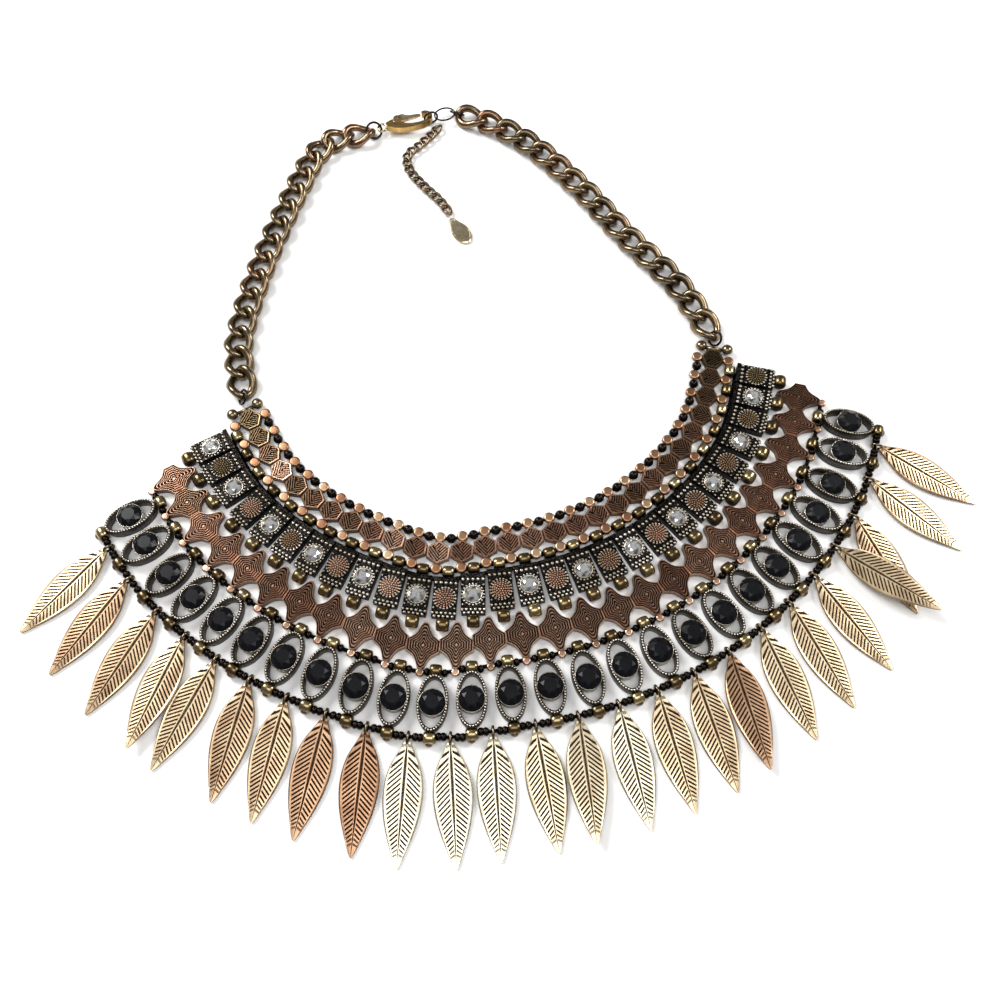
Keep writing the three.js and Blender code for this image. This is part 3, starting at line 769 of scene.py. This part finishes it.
def leaf_shape():
    """A stamped leaf: a midrib line and slanting veins cut into a slightly dished blade."""
    length, thick, slant = LEAF_LENGTH, 0.85, 0.92
    veins = np.arange(0.9, 29.5, 1.32)
    # Places along the midrib, and how deep a vein is cut there.
    stops = [(0.0, 0.0)]
    for v in veins:
        stops += [(v - 0.42, 0.0), (v - 0.24, 1.0), (v + 0.1, 1.0), (v + 0.28, 0.0)]
    stops += [(30.4, 0.0), (31.4, 0.0), (length, 0.0)]
    u = np.array([s[0] for s in stops])
    cut = np.array([s[1] for s in stops])
    lean = slant * np.clip(u / 3.5, 0, 1) * np.clip((length - u) / 6.0, 0, 1)
    width = smooth_through(LEAF_WIDTHS, u)
    # A vein ends further out than it starts, so its width is that of the place where it ends.
    for _ in range(60):
        width = 0.5 * width + 0.5 * smooth_through(LEAF_WIDTHS, np.clip(u + lean * width, 0, length))
    # Share of the half width, depth of the midrib or the rim there, and whether veins cross it.
    across = [(0.0, 1.0, 0), (0.045, 0.9, 0), (0.085, 0.0, 0), (0.14, 0.0, 0), (0.17, 0.0, 1), (0.45, 0.0, 1),
              (0.8, 0.0, 1), (0.86, 0.0, 0), (0.93, 0.1, 0), (1.0, 0.75, 0)]
    mirrored = [(-v, line, veined) for v, line, veined in across[:0:-1]]
    top, dark = [], []
    for v, line, veined in mirrored + across:
        y = v * width
        x = u + lean * np.abs(y)
        fade = np.clip(width / 2.2, 0, 1)
        depth = np.maximum(line, veined * cut * fade)
        dish = 0.18 * (1 - v * v) * fade
        rim = 0.12 * (abs(v) > 0.9) * (abs(v) < 0.99)
        z = thick * 0.82 + dish + rim - 0.2 * depth
        top.append(np.column_stack([x, y, z]))
        dark.append(depth)
    top, dark = np.array(top), np.array(dark)
    rows, count = top.shape[:2]
    quarter = [0, rows // 4, rows // 2, 3 * rows // 4, rows - 1]
    under = top[quarter].copy()
    under[:, :, 2] = np.array([0.25, 0.05, 0.05, 0.05, 0.25])[:, None]
    points = np.vstack([top.reshape(-1, 3), under.reshape(-1, 3)])
    groove = np.concatenate([dark.ravel(), np.full(5 * count, 0.35)])

    def grid(r, c):
        return r * count + c

    def below(r, c):
        return (rows + r) * count + c

    faces = []
    for r in range(rows - 1):
        for c in range(count - 1):
            faces.append([grid(r, c), grid(r, c + 1), grid(r + 1, c + 1), grid(r + 1, c)][::-1])
    for r in range(4):
        for c in range(count - 1):
            faces.append([below(r, c), below(r, c + 1), below(r + 1, c + 1), below(r + 1, c)])
    for c in range(count - 1):
        faces.append([grid(0, c), grid(0, c + 1), below(0, c + 1), below(0, c)])
        faces.append([grid(rows - 1, c + 1), grid(rows - 1, c), below(4, c), below(4, c + 1)])
    for end, flip in ((0, False), (count - 1, True)):
        for q in range(4):
            face = [grid(r, end) for r in range(quarter[q], quarter[q + 1] + 1)]
            face += [below(q + 1, end), below(q, end)]
            faces.append(face if not flip else face[::-1])
    return Shape().add(points, faces, groove)


def wire_loop(half_x, half_y, wire, steps=28, sides=10, twist=0.0, centre=(0, 0, 0), tilt=None):
    """A wire bent into a closed ellipse, its two ends turned opposite ways by the twist."""
    b = circle(sides)
    rings = []
    for a in circle(steps):
        middle = np.array([half_x * math.cos(a), half_y * math.sin(a), 0.0])
        away = np.array([half_y * math.cos(a), half_x * math.sin(a), 0.0])
        away /= np.linalg.norm(away)
        x, y, z = (middle + wire * (np.outer(np.cos(b), away) + np.outer(np.sin(b), [0, 0, 1.0]))).T
        turn = twist * x / half_x
        p = np.column_stack([x, y * np.cos(turn) - z * np.sin(turn), y * np.sin(turn) + z * np.cos(turn)])
        if tilt is not None:
            p = p @ np.array(tilt).T
        rings.append((p + np.array(centre))[::-1])
    return Shape().stack(rings, 0.0, True, loop=True)


def chain_spots(route, tones, height, start=0.0, end=0.0):
    """Spots evenly along a route, one for each tone, and their spacing."""
    line = Line(route)
    last = line.length - end
    spots = []
    for s, tone in zip(np.linspace(start, last, len(tones)), tones):
        p, t = line.at(s)
        p = p + BASE
        spots.append((p[0], p[1], height, (0.0, 0.0, math.atan2(t[1], t[0])), tone))
    return spots, (last - start) / (len(tones) - 1)


# ---------------------------------------------------------------- what a user may change


class NecklaceSizes(bpy.types.PropertyGroup):
    """Sizes of the repeated pieces."""

    bead: bpy.props.FloatProperty(
        name="Brass bead", description="Radius of the brass beads under the tiles",
        default=2.05 * MM, unit="LENGTH", subtype="DISTANCE")
    small_bead: bpy.props.FloatProperty(
        name="Dark bead", description="Radius of the small dark beads",
        default=1.22 * MM, unit="LENGTH", subtype="DISTANCE")
    link_wire: bpy.props.FloatProperty(
        name="Link wire", description="Half the thickness of the curb links' wire",
        default=1.34 * MM, unit="LENGTH", subtype="DISTANCE")
    leaf_jitter: bpy.props.FloatProperty(
        name="Leaf roll", description="How far each leaf may roll on the table",
        default=0.0, subtype="ANGLE")


class StageLook(bpy.types.PropertyGroup):
    """Floor and light."""

    floor: bpy.props.FloatVectorProperty(
        name="Floor", description="Colour of the pale floor", subtype="COLOR", size=4, min=0, max=1,
        default=linear("#F4F3F1"))
    light: bpy.props.FloatProperty(
        name="Key light", description="Power of the large soft light", default=9.0, min=0, unit="POWER")
    room: bpy.props.FloatProperty(
        name="Room light", description="Strength of the light from all round", default=0.26, min=0)


class PieceOperator:
    """Shared by every operator that builds pieces."""

    bl_options = {"REGISTER", "UNDO"}

    def execute(self, context):
        if not FINISH:
            FINISH.update(make_materials())
        self.build(context.scene.necklace_sizes)
        return {"FINISHED"}


class NECKLACE_OT_hexagons(PieceOperator, bpy.types.Operator):
    """Hexagons at the neckline with their round ears"""

    bl_idname = "necklace.hexagons"
    bl_label = "Hexagon row"

    def build(self, sizes):
        places = PLACES["hexagon"]
        # Painted highlight: tones run highest in the middle of the row, and the brightest pieces take the
        # pale top of the copper ramp; the ears below follow these tones.
        brightest_pieces = [3, 9, 11]
        tones = row_tones(len(places), 0.72, 0.2, 3, 0.14)
        tones[brightest_pieces] = 1.0
        repeated("hexagons", hexagon_shape(), row_spots(places, 0.0, tones), "copper", ["hexagon_row"])
        draw = np.random.default_rng(11)
        for name, height in (("neck_ears", 0.9), ("lower_ears", 1.2)):
            share = np.clip(tones * 0.5 + draw.uniform(-0.1, 0.6, len(places)), 0, 1)
            spots = row_spots(places, OUT[name], 1.3 - 0.85 * share, height)
            repeated(name, disc_shape(1.66, 1.25), spots, "leaf")


class NECKLACE_OT_edge_beads(PieceOperator, bpy.types.Operator):
    """Dark round beads along the neck and brass beads along the second string"""

    bl_idname = "necklace.edge_beads"
    bl_label = "Neck strings"

    def build(self, sizes):
        between = middles(PLACES["hexagon"])
        draw = np.random.default_rng(5)
        spots = row_spots(between, OUT["neck_beads"], draw.uniform(0, 0.4, len(between)), 1.6)
        repeated("neck_beads", ball(1.5, sides=14, tiers=8), spots, "gunmetal", ["neck_bead_string"])
        spots = row_spots(between, OUT["second_string_beads"], draw.uniform(0.1, 0.9, len(between)), 1.75)
        repeated("second_string_beads", barrel(1.8, 1.7), spots, "brass", ["second_bead_string"])


class NECKLACE_OT_threads(PieceOperator, bpy.types.Operator):
    """Dark cords that the netted rows are strung on, thick and near black so they also paint the shade in the
    gaps between the pieces
    """

    bl_idname = "necklace.threads"
    bl_label = "Stringing"

    def build(self, sizes):
        shape = Shape()
        steps = 140
        a = circle(6)
        for row, string, height, radius in (
            ("hexagon", "neck_string", 1.3, 0.55), ("hexagon", "second_string", 1.2, 0.8),
            ("tile", "tile_string", 1.0, 0.7), ("star", "oval_string", 1.1, 0.6),
            ("oval", "leaf_string", 1.75, 0.5),
        ):
            side, up = radius * np.cos(a), radius * np.sin(a)
            rings = []
            for s in np.linspace(PLACES[row][0], PLACES[row][-1], steps):
                p, t = station(s, OUT[string])
                rings.append(np.column_stack([p[0] - t[1] * side, p[1] + t[0] * side, height + up]))
            # Painted shade: darkened near black, the cords also fill the gaps between the rows with shade.
            shape.stack(rings, 0.85, True)
        single("stringing", shape, "gunmetal", 0.1)


class NECKLACE_OT_tiles(PieceOperator, bpy.types.Operator):
    """Grained tiles with clear stones and rosettes in turn, and the brass beads below"""

    bl_idname = "necklace.tiles"
    bl_label = "Tile row"

    def build(self, sizes):
        places = PLACES["tile"]
        draw = np.random.default_rng(21)
        spots = row_spots(places, ROW["tile"]["out"], draw.uniform(0.3, 0.8, len(places)))
        with_stone, with_rosette = spots[0::2], spots[1::2]
        repeated("stone_tiles", tile_shape(True), with_stone, "pewter", ["granulated_tile_row"])
        repeated("rosette_tiles", tile_shape(False), with_rosette, "pewter")
        # Painted highlight: the rosettes' tones run highest in the middle of the row.
        tones = row_tones(len(with_rosette), 0.75, 0.2, 8, 0.3)
        roses = [(*spot[:4], tone) for spot, tone in zip(with_rosette, tones)]
        repeated("rosettes", rosette_shape(), roses, "copper")
        stone = cut_stone(radius=2.55, girdle=3.5, table=4.5, base=3.0, painted_glint=1.0)
        repeated("clear_stones", stone, with_stone, "crystal")
        radius = sizes.bead / MM
        spots = row_spots(places, OUT["tile_beads"], draw.uniform(0.1, 0.75, len(places)), radius)
        repeated("tile_beads", barrel(radius, radius * 0.88), spots, "brass")


class NECKLACE_OT_stars(PieceOperator, bpy.types.Operator):
    """Ridged stars"""

    bl_idname = "necklace.stars"
    bl_label = "Star row"

    def build(self, sizes):
        places = PLACES["star"]
        # Painted highlight: the stars' tones run high, brightest in the middle of the row, to paint the
        # ridges' highlights.
        tones = row_tones(len(places), 0.92, 0.5, 31, 0.12)
        repeated("stars", star_shape(), row_spots(places, ROW["star"]["out"], tones), "copper", ["star_row"])


class NECKLACE_OT_ovals(PieceOperator, bpy.types.Operator):
    """Oval settings with black stones and the beads above them"""

    bl_idname = "necklace.ovals"
    bl_label = "Oval row"

    def build(self, sizes):
        places, stars = PLACES["oval"], PLACES["star"]
        draw = np.random.default_rng(41)
        spots = row_spots(places, ROW["oval"]["out"], draw.uniform(0.3, 0.8, len(places)))
        repeated("oval_settings", oval_shape(), spots, "pewter", ["oval_setting_row"])
        repeated("black_stones", cut_stone(radius=3.68, girdle=3.95, table=5.25, base=2.7), spots, "jet")
        top = row_spots(places, OUT["oval_top_beads"], draw.uniform(0.1, 0.8, len(places)), 1.8)
        repeated("oval_top_beads", barrel(1.78, 1.65), top, "brass")
        pairs = []
        for beside in (2.55, -2.55):
            pairs += row_spots(places, OUT["oval_side_beads"], 0.2, 1.3, beside)
        repeated("oval_side_beads", ball(1.2, flat=0.8), pairs, "gunmetal")
        ears = row_spots(stars, OUT["star_ears"], draw.uniform(0.4, 0.9, len(stars)), 0.8)
        repeated("star_ears", disc_shape(1.2, 1.1), ears, "copper")


class NECKLACE_OT_leaf_string(PieceOperator, bpy.types.Operator):
    """The fine string of beads and collars that carries the leaves"""

    bl_idname = "necklace.leaf_string"
    bl_label = "Leaf string"

    def build(self, sizes):
        places, leaves = PLACES["oval"], PLACES["leaf"]
        draw = np.random.default_rng(51)
        string = OUT["leaf_string"]
        spots = row_spots(places, string, draw.uniform(0.1, 0.8, len(places)), 1.9)
        repeated("string_barrels", barrel(1.78, 1.7), spots, "brass")
        spots = row_spots(places, OUT["inner_collars"], 0.3, 1.7, extra_turn=math.pi / 2)
        spots += row_spots(places, OUT["outer_collars"], 0.55, 1.35, extra_turn=math.pi / 2)
        repeated("string_collars", ball(1.15, flat=0.7), spots, "bronze")
        small = sizes.small_bead / MM
        beside_loop, beside_barrel = 1.95, 2.5
        spots = []
        for i, s in enumerate(leaves):
            before, after = station(s - 0.5, string)[0], station(s + 0.5, string)[0]
            gap = (places[i + 1] - places[i]) / 2 * np.linalg.norm(after - before)
            offsets = [beside_loop]
            if gap > 2.9 + 2 * small:
                offsets.append(min(gap - beside_barrel, beside_loop + 2 * small))
            for side in (-1, 1):
                for offset in offsets:
                    spots += row_spots([s], string, draw.uniform(0, 0.4), 1.75, along=side * offset)
        repeated("string_beads", ball(small, flat=0.85), spots, "gunmetal")
        upright = Euler((math.pi / 2, 0, math.pi / 2)).to_matrix()
        spots = row_spots(leaves, OUT["leaf_loops"], draw.uniform(0.2, 0.6, len(leaves)), 1.9)
        repeated("leaf_loops", wire_loop(1.55, 1.3, 0.42, 16, 8, tilt=upright), spots, "bronze")


class NECKLACE_OT_leaves(PieceOperator, bpy.types.Operator):
    """Leaf drops"""

    bl_idname = "necklace.leaves"
    bl_label = "Leaves"

    def build(self, sizes):
        spots, names = [], []
        for s, (heading, tip, tone) in zip(PLACES["leaf"], LEAVES):
            p, _ = station(s, OUT["leaf_tops"])
            rise = math.asin((tip - LEAF_HEIGHT) / LEAF_LENGTH)
            spots.append((p[0], p[1], LEAF_HEIGHT, (0.0, -rise, math.radians(heading)), tone))
            names.append(f"leaf_{len(spots):02d}")
        repeated("leaves", leaf_shape(), spots, "leaf", names, jitter=sizes.leaf_jitter)


class NECKLACE_OT_chains(PieceOperator, bpy.types.Operator):
    """Both curb chains with their rings"""

    bl_idname = "necklace.chains"
    bl_label = "Curb chains"

    def build(self, sizes):
        wire = sizes.link_wire / MM
        draw = np.random.default_rng(61)
        count = LINK["count"]
        for name, route, reddest in (("chain_left", LEFT_CHAIN, count - 1), ("chain_right", RIGHT_CHAIN, 0)):
            redness = np.exp(-np.abs(np.arange(count) - reddest) / 2.5)
            tones = np.clip(0.35 + draw.uniform(-0.2, 0.25, count) + 0.45 * redness, 0, 1)
            spots, pitch = chain_spots(route, tones, LINK["height"])
            link = wire_loop(pitch / 2 + LINK["past_pitch"], LINK["half_width"], wire, 32, 10, LINK["twist"])
            repeated(name + "_links", link, spots, "bronze", [name])
        for name, (route, end, height, radius, thick) in RINGS.items():
            line = Line(route)
            p, t = line.at(line.length * end)
            sense = 1 if end else -1
            half_pitch = line.length / (2 * (count - 1))
            reach = (half_pitch + LINK["past_pitch"] + radius - LINK["to_ring"]) * sense
            p = p + t * reach + BASE
            turn = Euler((sense * RING_TILT, 0, math.atan2(t[1], t[0])), "XYZ").to_matrix()
            shape = wire_loop(radius, radius, thick, centre=(p[0], p[1], height), tilt=turn)
            single(name + "_wire", shape, "gunmetal", 0.6, [name])


class NECKLACE_OT_bib_ends(PieceOperator, bpy.types.Operator):
    """Clamshell knot covers and short bars at both ends of the bib"""

    bl_idname = "necklace.bib_ends"
    bl_label = "Bib ends"

    def build(self, sizes):
        first, last = PLACES["hexagon"][[0, -1]]
        shape = Shape()
        cover = [(0.75, 0.9), (1.5, 1.15), (1.85, 1.9), (1.6, 2.7), (1.0, 3.2), (0.4, 3.35)]
        for s in (first - 4.3, last + 4.3):
            for out in (-4.1, 4.3):
                p, _ = station(s, out)
                shape.stack([ring(r, z, 16, p[0], p[1]) for r, z in cover], [0.8, 0.4, 0, 0, 0, 0], True)
        radius, height = 0.8, 1.6
        a = circle(8)
        for s in (first - 3.9, last + 3.9):
            start, end = station(s, -2.4)[0], station(s, 2.6)[0]
            way = (end - start) / np.linalg.norm(end - start)
            side = np.array([-way[1], way[0]])
            rings = [np.column_stack([q + np.outer(np.cos(a), side * radius), height + radius * np.sin(a)])
                     for q in (end, start)]
            shape.stack(rings, 0.2, True)
        single("knot_covers", shape, "bronze", 0.5)


def in_clasp(points, z=0.0):
    """Points of the clasp's own frame on the table."""
    a = CLASP["turn"]
    p = np.array(points, float)
    x = p[:, 0] * math.cos(a) - p[:, 1] * math.sin(a) + CLASP["x"] + BASE[0]
    y = p[:, 0] * math.sin(a) + p[:, 1] * math.cos(a) + CLASP["y"] + BASE[1]
    return np.column_stack([x, y, np.full(len(p), z)])


def rounded_plate(name, outline, low, thick, bevel, tone, nodes=(), hole=None, body=BODY):
    """A flat outline of the clasp made solid with rounded edges."""
    mesh = bpy.data.meshes.new(name)
    bm = bmesh.new()
    edges = []
    for loop in (outline, hole):
        if loop is None:
            continue
        verts = [bm.verts.new(Vector(p) * MM) for p in in_clasp(loop, low)]
        edges += [bm.edges.new((verts[i], verts[(i + 1) % len(verts)])) for i in range(len(verts))]
    bmesh.ops.triangle_fill(bm, use_beauty=True, use_dissolve=False, edges=edges)
    lifted = bmesh.ops.extrude_face_region(bm, geom=list(bm.faces))
    for v in [g for g in lifted["geom"] if isinstance(g, bmesh.types.BMVert)]:
        v.co.z += thick * MM
    bmesh.ops.recalc_face_normals(bm, faces=bm.faces)

    def level(e):
        return abs(e.verts[0].co.z - e.verts[1].co.z) < 1e-7

    rim = [e for e in bm.edges if e.calc_face_angle(0) > 0.5 and level(e)]
    bmesh.ops.bevel(
        bm, geom=rim, offset=bevel * MM, segments=3, profile=0.5, affect="EDGES", clamp_overlap=True)
    bmesh.ops.recalc_face_normals(bm, faces=bm.faces)
    bm.to_mesh(mesh)
    bm.free()
    for key, value in (("groove", 0.0), ("tone", tone)):
        layer = mesh.attributes.new(key, "FLOAT", "POINT")
        layer.data.foreach_set("value", np.full(len(mesh.vertices), value, np.float32))
    finish_mesh(name, mesh, "gold", nodes, body)


def softened(points, passes=2):
    """A closed outline with its corners rounded."""
    p = np.array(points, float)
    for _ in range(passes):
        after = np.roll(p, -1, axis=0)
        p = np.stack([0.75 * p + 0.25 * after, 0.25 * p + 0.75 * after], 1).reshape(-1, 2)
    return p


class NECKLACE_OT_clasp(PieceOperator, bpy.types.Operator):
    """Lobster clasp, its sprung lever, and the rings round it"""

    bl_idname = "necklace.clasp"
    bl_label = "Clasp"

    def build(self, sizes):
        hook = [
            (1.5, -0.9), (2.6, -1.4), (5, -2.8), (9, -3.5), (14, -3.4), (17.4, -2.4), (19, -0.4), (18.8, 1.6),
            (17.2, 2.9), (15.3, 2.9), (15.3, 1.8), (16.5, 1.5), (17.2, 0.6), (17.0, -0.8), (15.4, -1.8),
            (11, -1.9), (8.4, -1.2), (7.2, 0.3), (5.0, 0.6), (4.6, 2.2), (2.4, 1.3), (1.5, 0.9)]
        rounded_plate("clasp_hook", softened(hook), 1.65, 2.4, 0.7, 0.55, ["clasp_body"])
        cheek = softened([(4.2, 0.0), (7.4, -0.3), (8.4, 2.6), (6.8, 3.5), (4.8, 3.2)])
        for name, low in (("clasp_cheek_low", 1.6), ("clasp_cheek_high", 3.65)):
            rounded_plate(name, cheek, low, 0.42, 0.12, 0.4)
        pin = CLASP["pin"]
        rounded_plate("clasp_pin", ring(0.5, 0, 12, *pin)[:, :2], 1.6, 2.55, 0.08, 0.7)
        x, y, _ = in_clasp([(0.1, 0.0)])[0]
        eye = wire_loop(1.55, 1.7, 0.45, 24, 10, centre=(x, y, CLASP["middle"]))
        single("clasp_eye", eye, "gold", 0.3)
        lever = softened([
            (5.5, 1.3), (6.6, 0.8), (8.4, 0.9), (14.9, 1.6), (14.9, 2.7), (10, 3.0), (8.6, 4.3), (7.0, 4.1),
            (5.4, 2.9)], 1)
        hole = ring(0.72, 0, 12, *pin)[:, :2]
        rounded_plate("clasp_lever_plate", lever, 2.3, 1.1, 0.22, 0.15, ["clasp_lever"], hole, LEVER_BODY)
        x, y, _ = in_clasp([(18.3, 0.0)])[0]
        turn = Euler((math.pi / 2, 0, CLASP["turn"]), "XYZ").to_matrix()
        shape = wire_loop(2.4, 2.4, 0.38, centre=(x, y, CLASP["middle"]), tilt=turn)
        single("clasp_ring", shape, "gunmetal", 0.6, ["hook_ring"])
        x, y = BAIL["place"] + BASE
        turn = Euler((0, 0, BAIL["turn"]), "XYZ").to_matrix()
        shape = wire_loop(3.75, 2.9, 0.3, centre=(x, y, 2.6), tilt=turn)
        single("bail_wire", shape, "gunmetal", 0.6, ["bail_link"])


class NECKLACE_OT_extension(PieceOperator, bpy.types.Operator):
    """Extension chain and its bare drop tag"""

    bl_idname = "necklace.extension"
    bl_label = "Extension chain"

    def build(self, sizes):
        tones = np.random.default_rng(71).uniform(0.2, 0.8, 15)
        spots, pitch = chain_spots(EXTENSION_ROUTE, tones, 1.55, 1.3, 1.2)
        link = wire_loop(pitch / 2 + 0.55, 1.3, 0.56, 20, 8, LINK["twist"])
        repeated("extension_links", link, spots, "bronze", ["extension_chain"])
        side = [(2.4, 1.7), (5.2, 3), (8.2, 3.2), (11, 2.2)]
        outline = softened([(0, 0.9), (0, -0.9), *[(x, -y) for x, y in side], (12.6, 0), *side[::-1]])
        centre = outline.mean(0)
        a = TAG["turn"]
        turn = np.array([[math.cos(a), -math.sin(a)], [math.sin(a), math.cos(a)]])
        rings = []
        levels = [(0.94, 0.3), (1.0, 0.45), (1.0, 0.85), (0.93, 1.12), (0.86, 1.15), (0.8, 1.0), (0.4, 1.02)]
        for share, z in levels:
            p = ((outline - centre) * share + centre) @ turn.T + TAG["place"] + BASE
            rings.append(np.column_stack([p, np.full(len(p), z)]))
        shape = Shape().stack(rings, [0.5, 0.3, 0.1, 0, 0.3, 0.1, 0.0])
        single("tag_plate", shape, "gold", 0.1, ["tag"])


def aimed(scene, name, data, place, aim):
    """A lamp or camera that stands at a place and looks at another."""
    made = bpy.data.objects.new(name, data)
    made.location = place
    made.rotation_euler = (aim - place).to_track_quat("-Z", "Y").to_euler()
    scene.collection.objects.link(made)
    return made


class NECKLACE_OT_stage(bpy.types.Operator):
    """Pale floor, soft light and the camera"""

    bl_idname = "necklace.stage"
    bl_label = "Floor, light and camera"

    def execute(self, context):
        scene, look = context.scene, context.scene.stage_look
        scene.view_settings.view_transform = "Standard"
        paper, tree, shader = new_material("matt_white_paper")
        shade = remap(tree, grain(tree, 30.0), 0.3, 0.7, 0.97, 1.0)
        tint = blend_colours(tree, shade, linear("#DEDDDA"), tuple(look.floor))
        tree.links.new(tint, shader.inputs["Base Color"])
        shader.inputs["Roughness"].default_value = 0.9
        bpy.ops.mesh.primitive_plane_add(size=6.0, location=(0, 0, 0))
        floor = context.object
        floor.name = "floor"
        floor.data.materials.append(paper)
        world = bpy.data.worlds.new("studio_room")
        world.use_nodes = True
        scene.world = world
        back = world.node_tree.nodes["Background"]
        back.inputs["Color"].default_value = linear("#F2F4F8")
        back.inputs["Strength"].default_value = look.room
        for name, place, aim, wide, deep, power in (
            ("overhead_softbox", (-0.02, -0.2, 0.6), (-0.02, -0.2, 0), 0.5, 0.36, look.light * 0.2),
            ("left_softbox", (-0.55, 0.42, 0.62), (0, 0, 0), 0.4, 0.4, look.light),
            ("right_softbox", (0.6, 0.2, 0.6), (0, 0, 0), 0.3, 0.3, look.light * 0.4),
        ):
            lamp = bpy.data.lights.new(name, "AREA")
            lamp.shape = "RECTANGLE"
            lamp.size, lamp.size_y = wide, deep
            lamp.energy = power
            aimed(scene, name, lamp, Vector(place), Vector(aim))
        lens = bpy.data.cameras.new("camera")
        lens.lens = 34.2
        lens.sensor_width = 36.0
        lens.clip_start, lens.clip_end = 0.01, 20.0
        eye, looks_at = Vector((-3.44, -144.02, 263.57)), Vector((-3.44, -26.32, 0.0))
        scene.camera = aimed(scene, "camera", lens, eye * MM, looks_at * MM)
        return {"FINISHED"}


class NECKLACE_PT_pieces(bpy.types.Panel):
    """Lists the pieces of the necklace"""

    bl_label = "Bib necklace"
    bl_idname = "NECKLACE_PT_pieces"
    bl_space_type = "VIEW_3D"
    bl_region_type = "UI"
    bl_category = "Bib necklace"

    def draw(self, context):
        for key in ("bead", "small_bead", "link_wire", "leaf_jitter"):
            self.layout.prop(context.scene.necklace_sizes, key)
        for key in ("floor", "light", "room"):
            self.layout.prop(context.scene.stage_look, key)
        for step in STEPS:
            self.layout.operator(step.bl_idname)


STEPS = [
    NECKLACE_OT_hexagons, NECKLACE_OT_edge_beads, NECKLACE_OT_threads, NECKLACE_OT_tiles,
    NECKLACE_OT_stars, NECKLACE_OT_ovals, NECKLACE_OT_leaf_string, NECKLACE_OT_leaves,
    NECKLACE_OT_chains, NECKLACE_OT_bib_ends, NECKLACE_OT_clasp, NECKLACE_OT_extension,
    NECKLACE_OT_stage,
]
CLASSES = [NecklaceSizes, StageLook, *STEPS, NECKLACE_PT_pieces]


def register():
    for c in CLASSES:
        bpy.utils.register_class(c)
    bpy.types.Scene.necklace_sizes = bpy.props.PointerProperty(type=NecklaceSizes)
    bpy.types.Scene.stage_look = bpy.props.PointerProperty(type=StageLook)


def unregister():
    del bpy.types.Scene.stage_look
    del bpy.types.Scene.necklace_sizes
    for c in reversed(CLASSES):
        bpy.utils.unregister_class(c)


def main():
    register()
    for step in STEPS:
        group, name = step.bl_idname.split(".")
        if "FINISHED" not in getattr(getattr(bpy.ops, group), name)():
            raise RuntimeError(f"{step.bl_label} did not finish")
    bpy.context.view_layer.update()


if __name__ == "__main__":
    main()
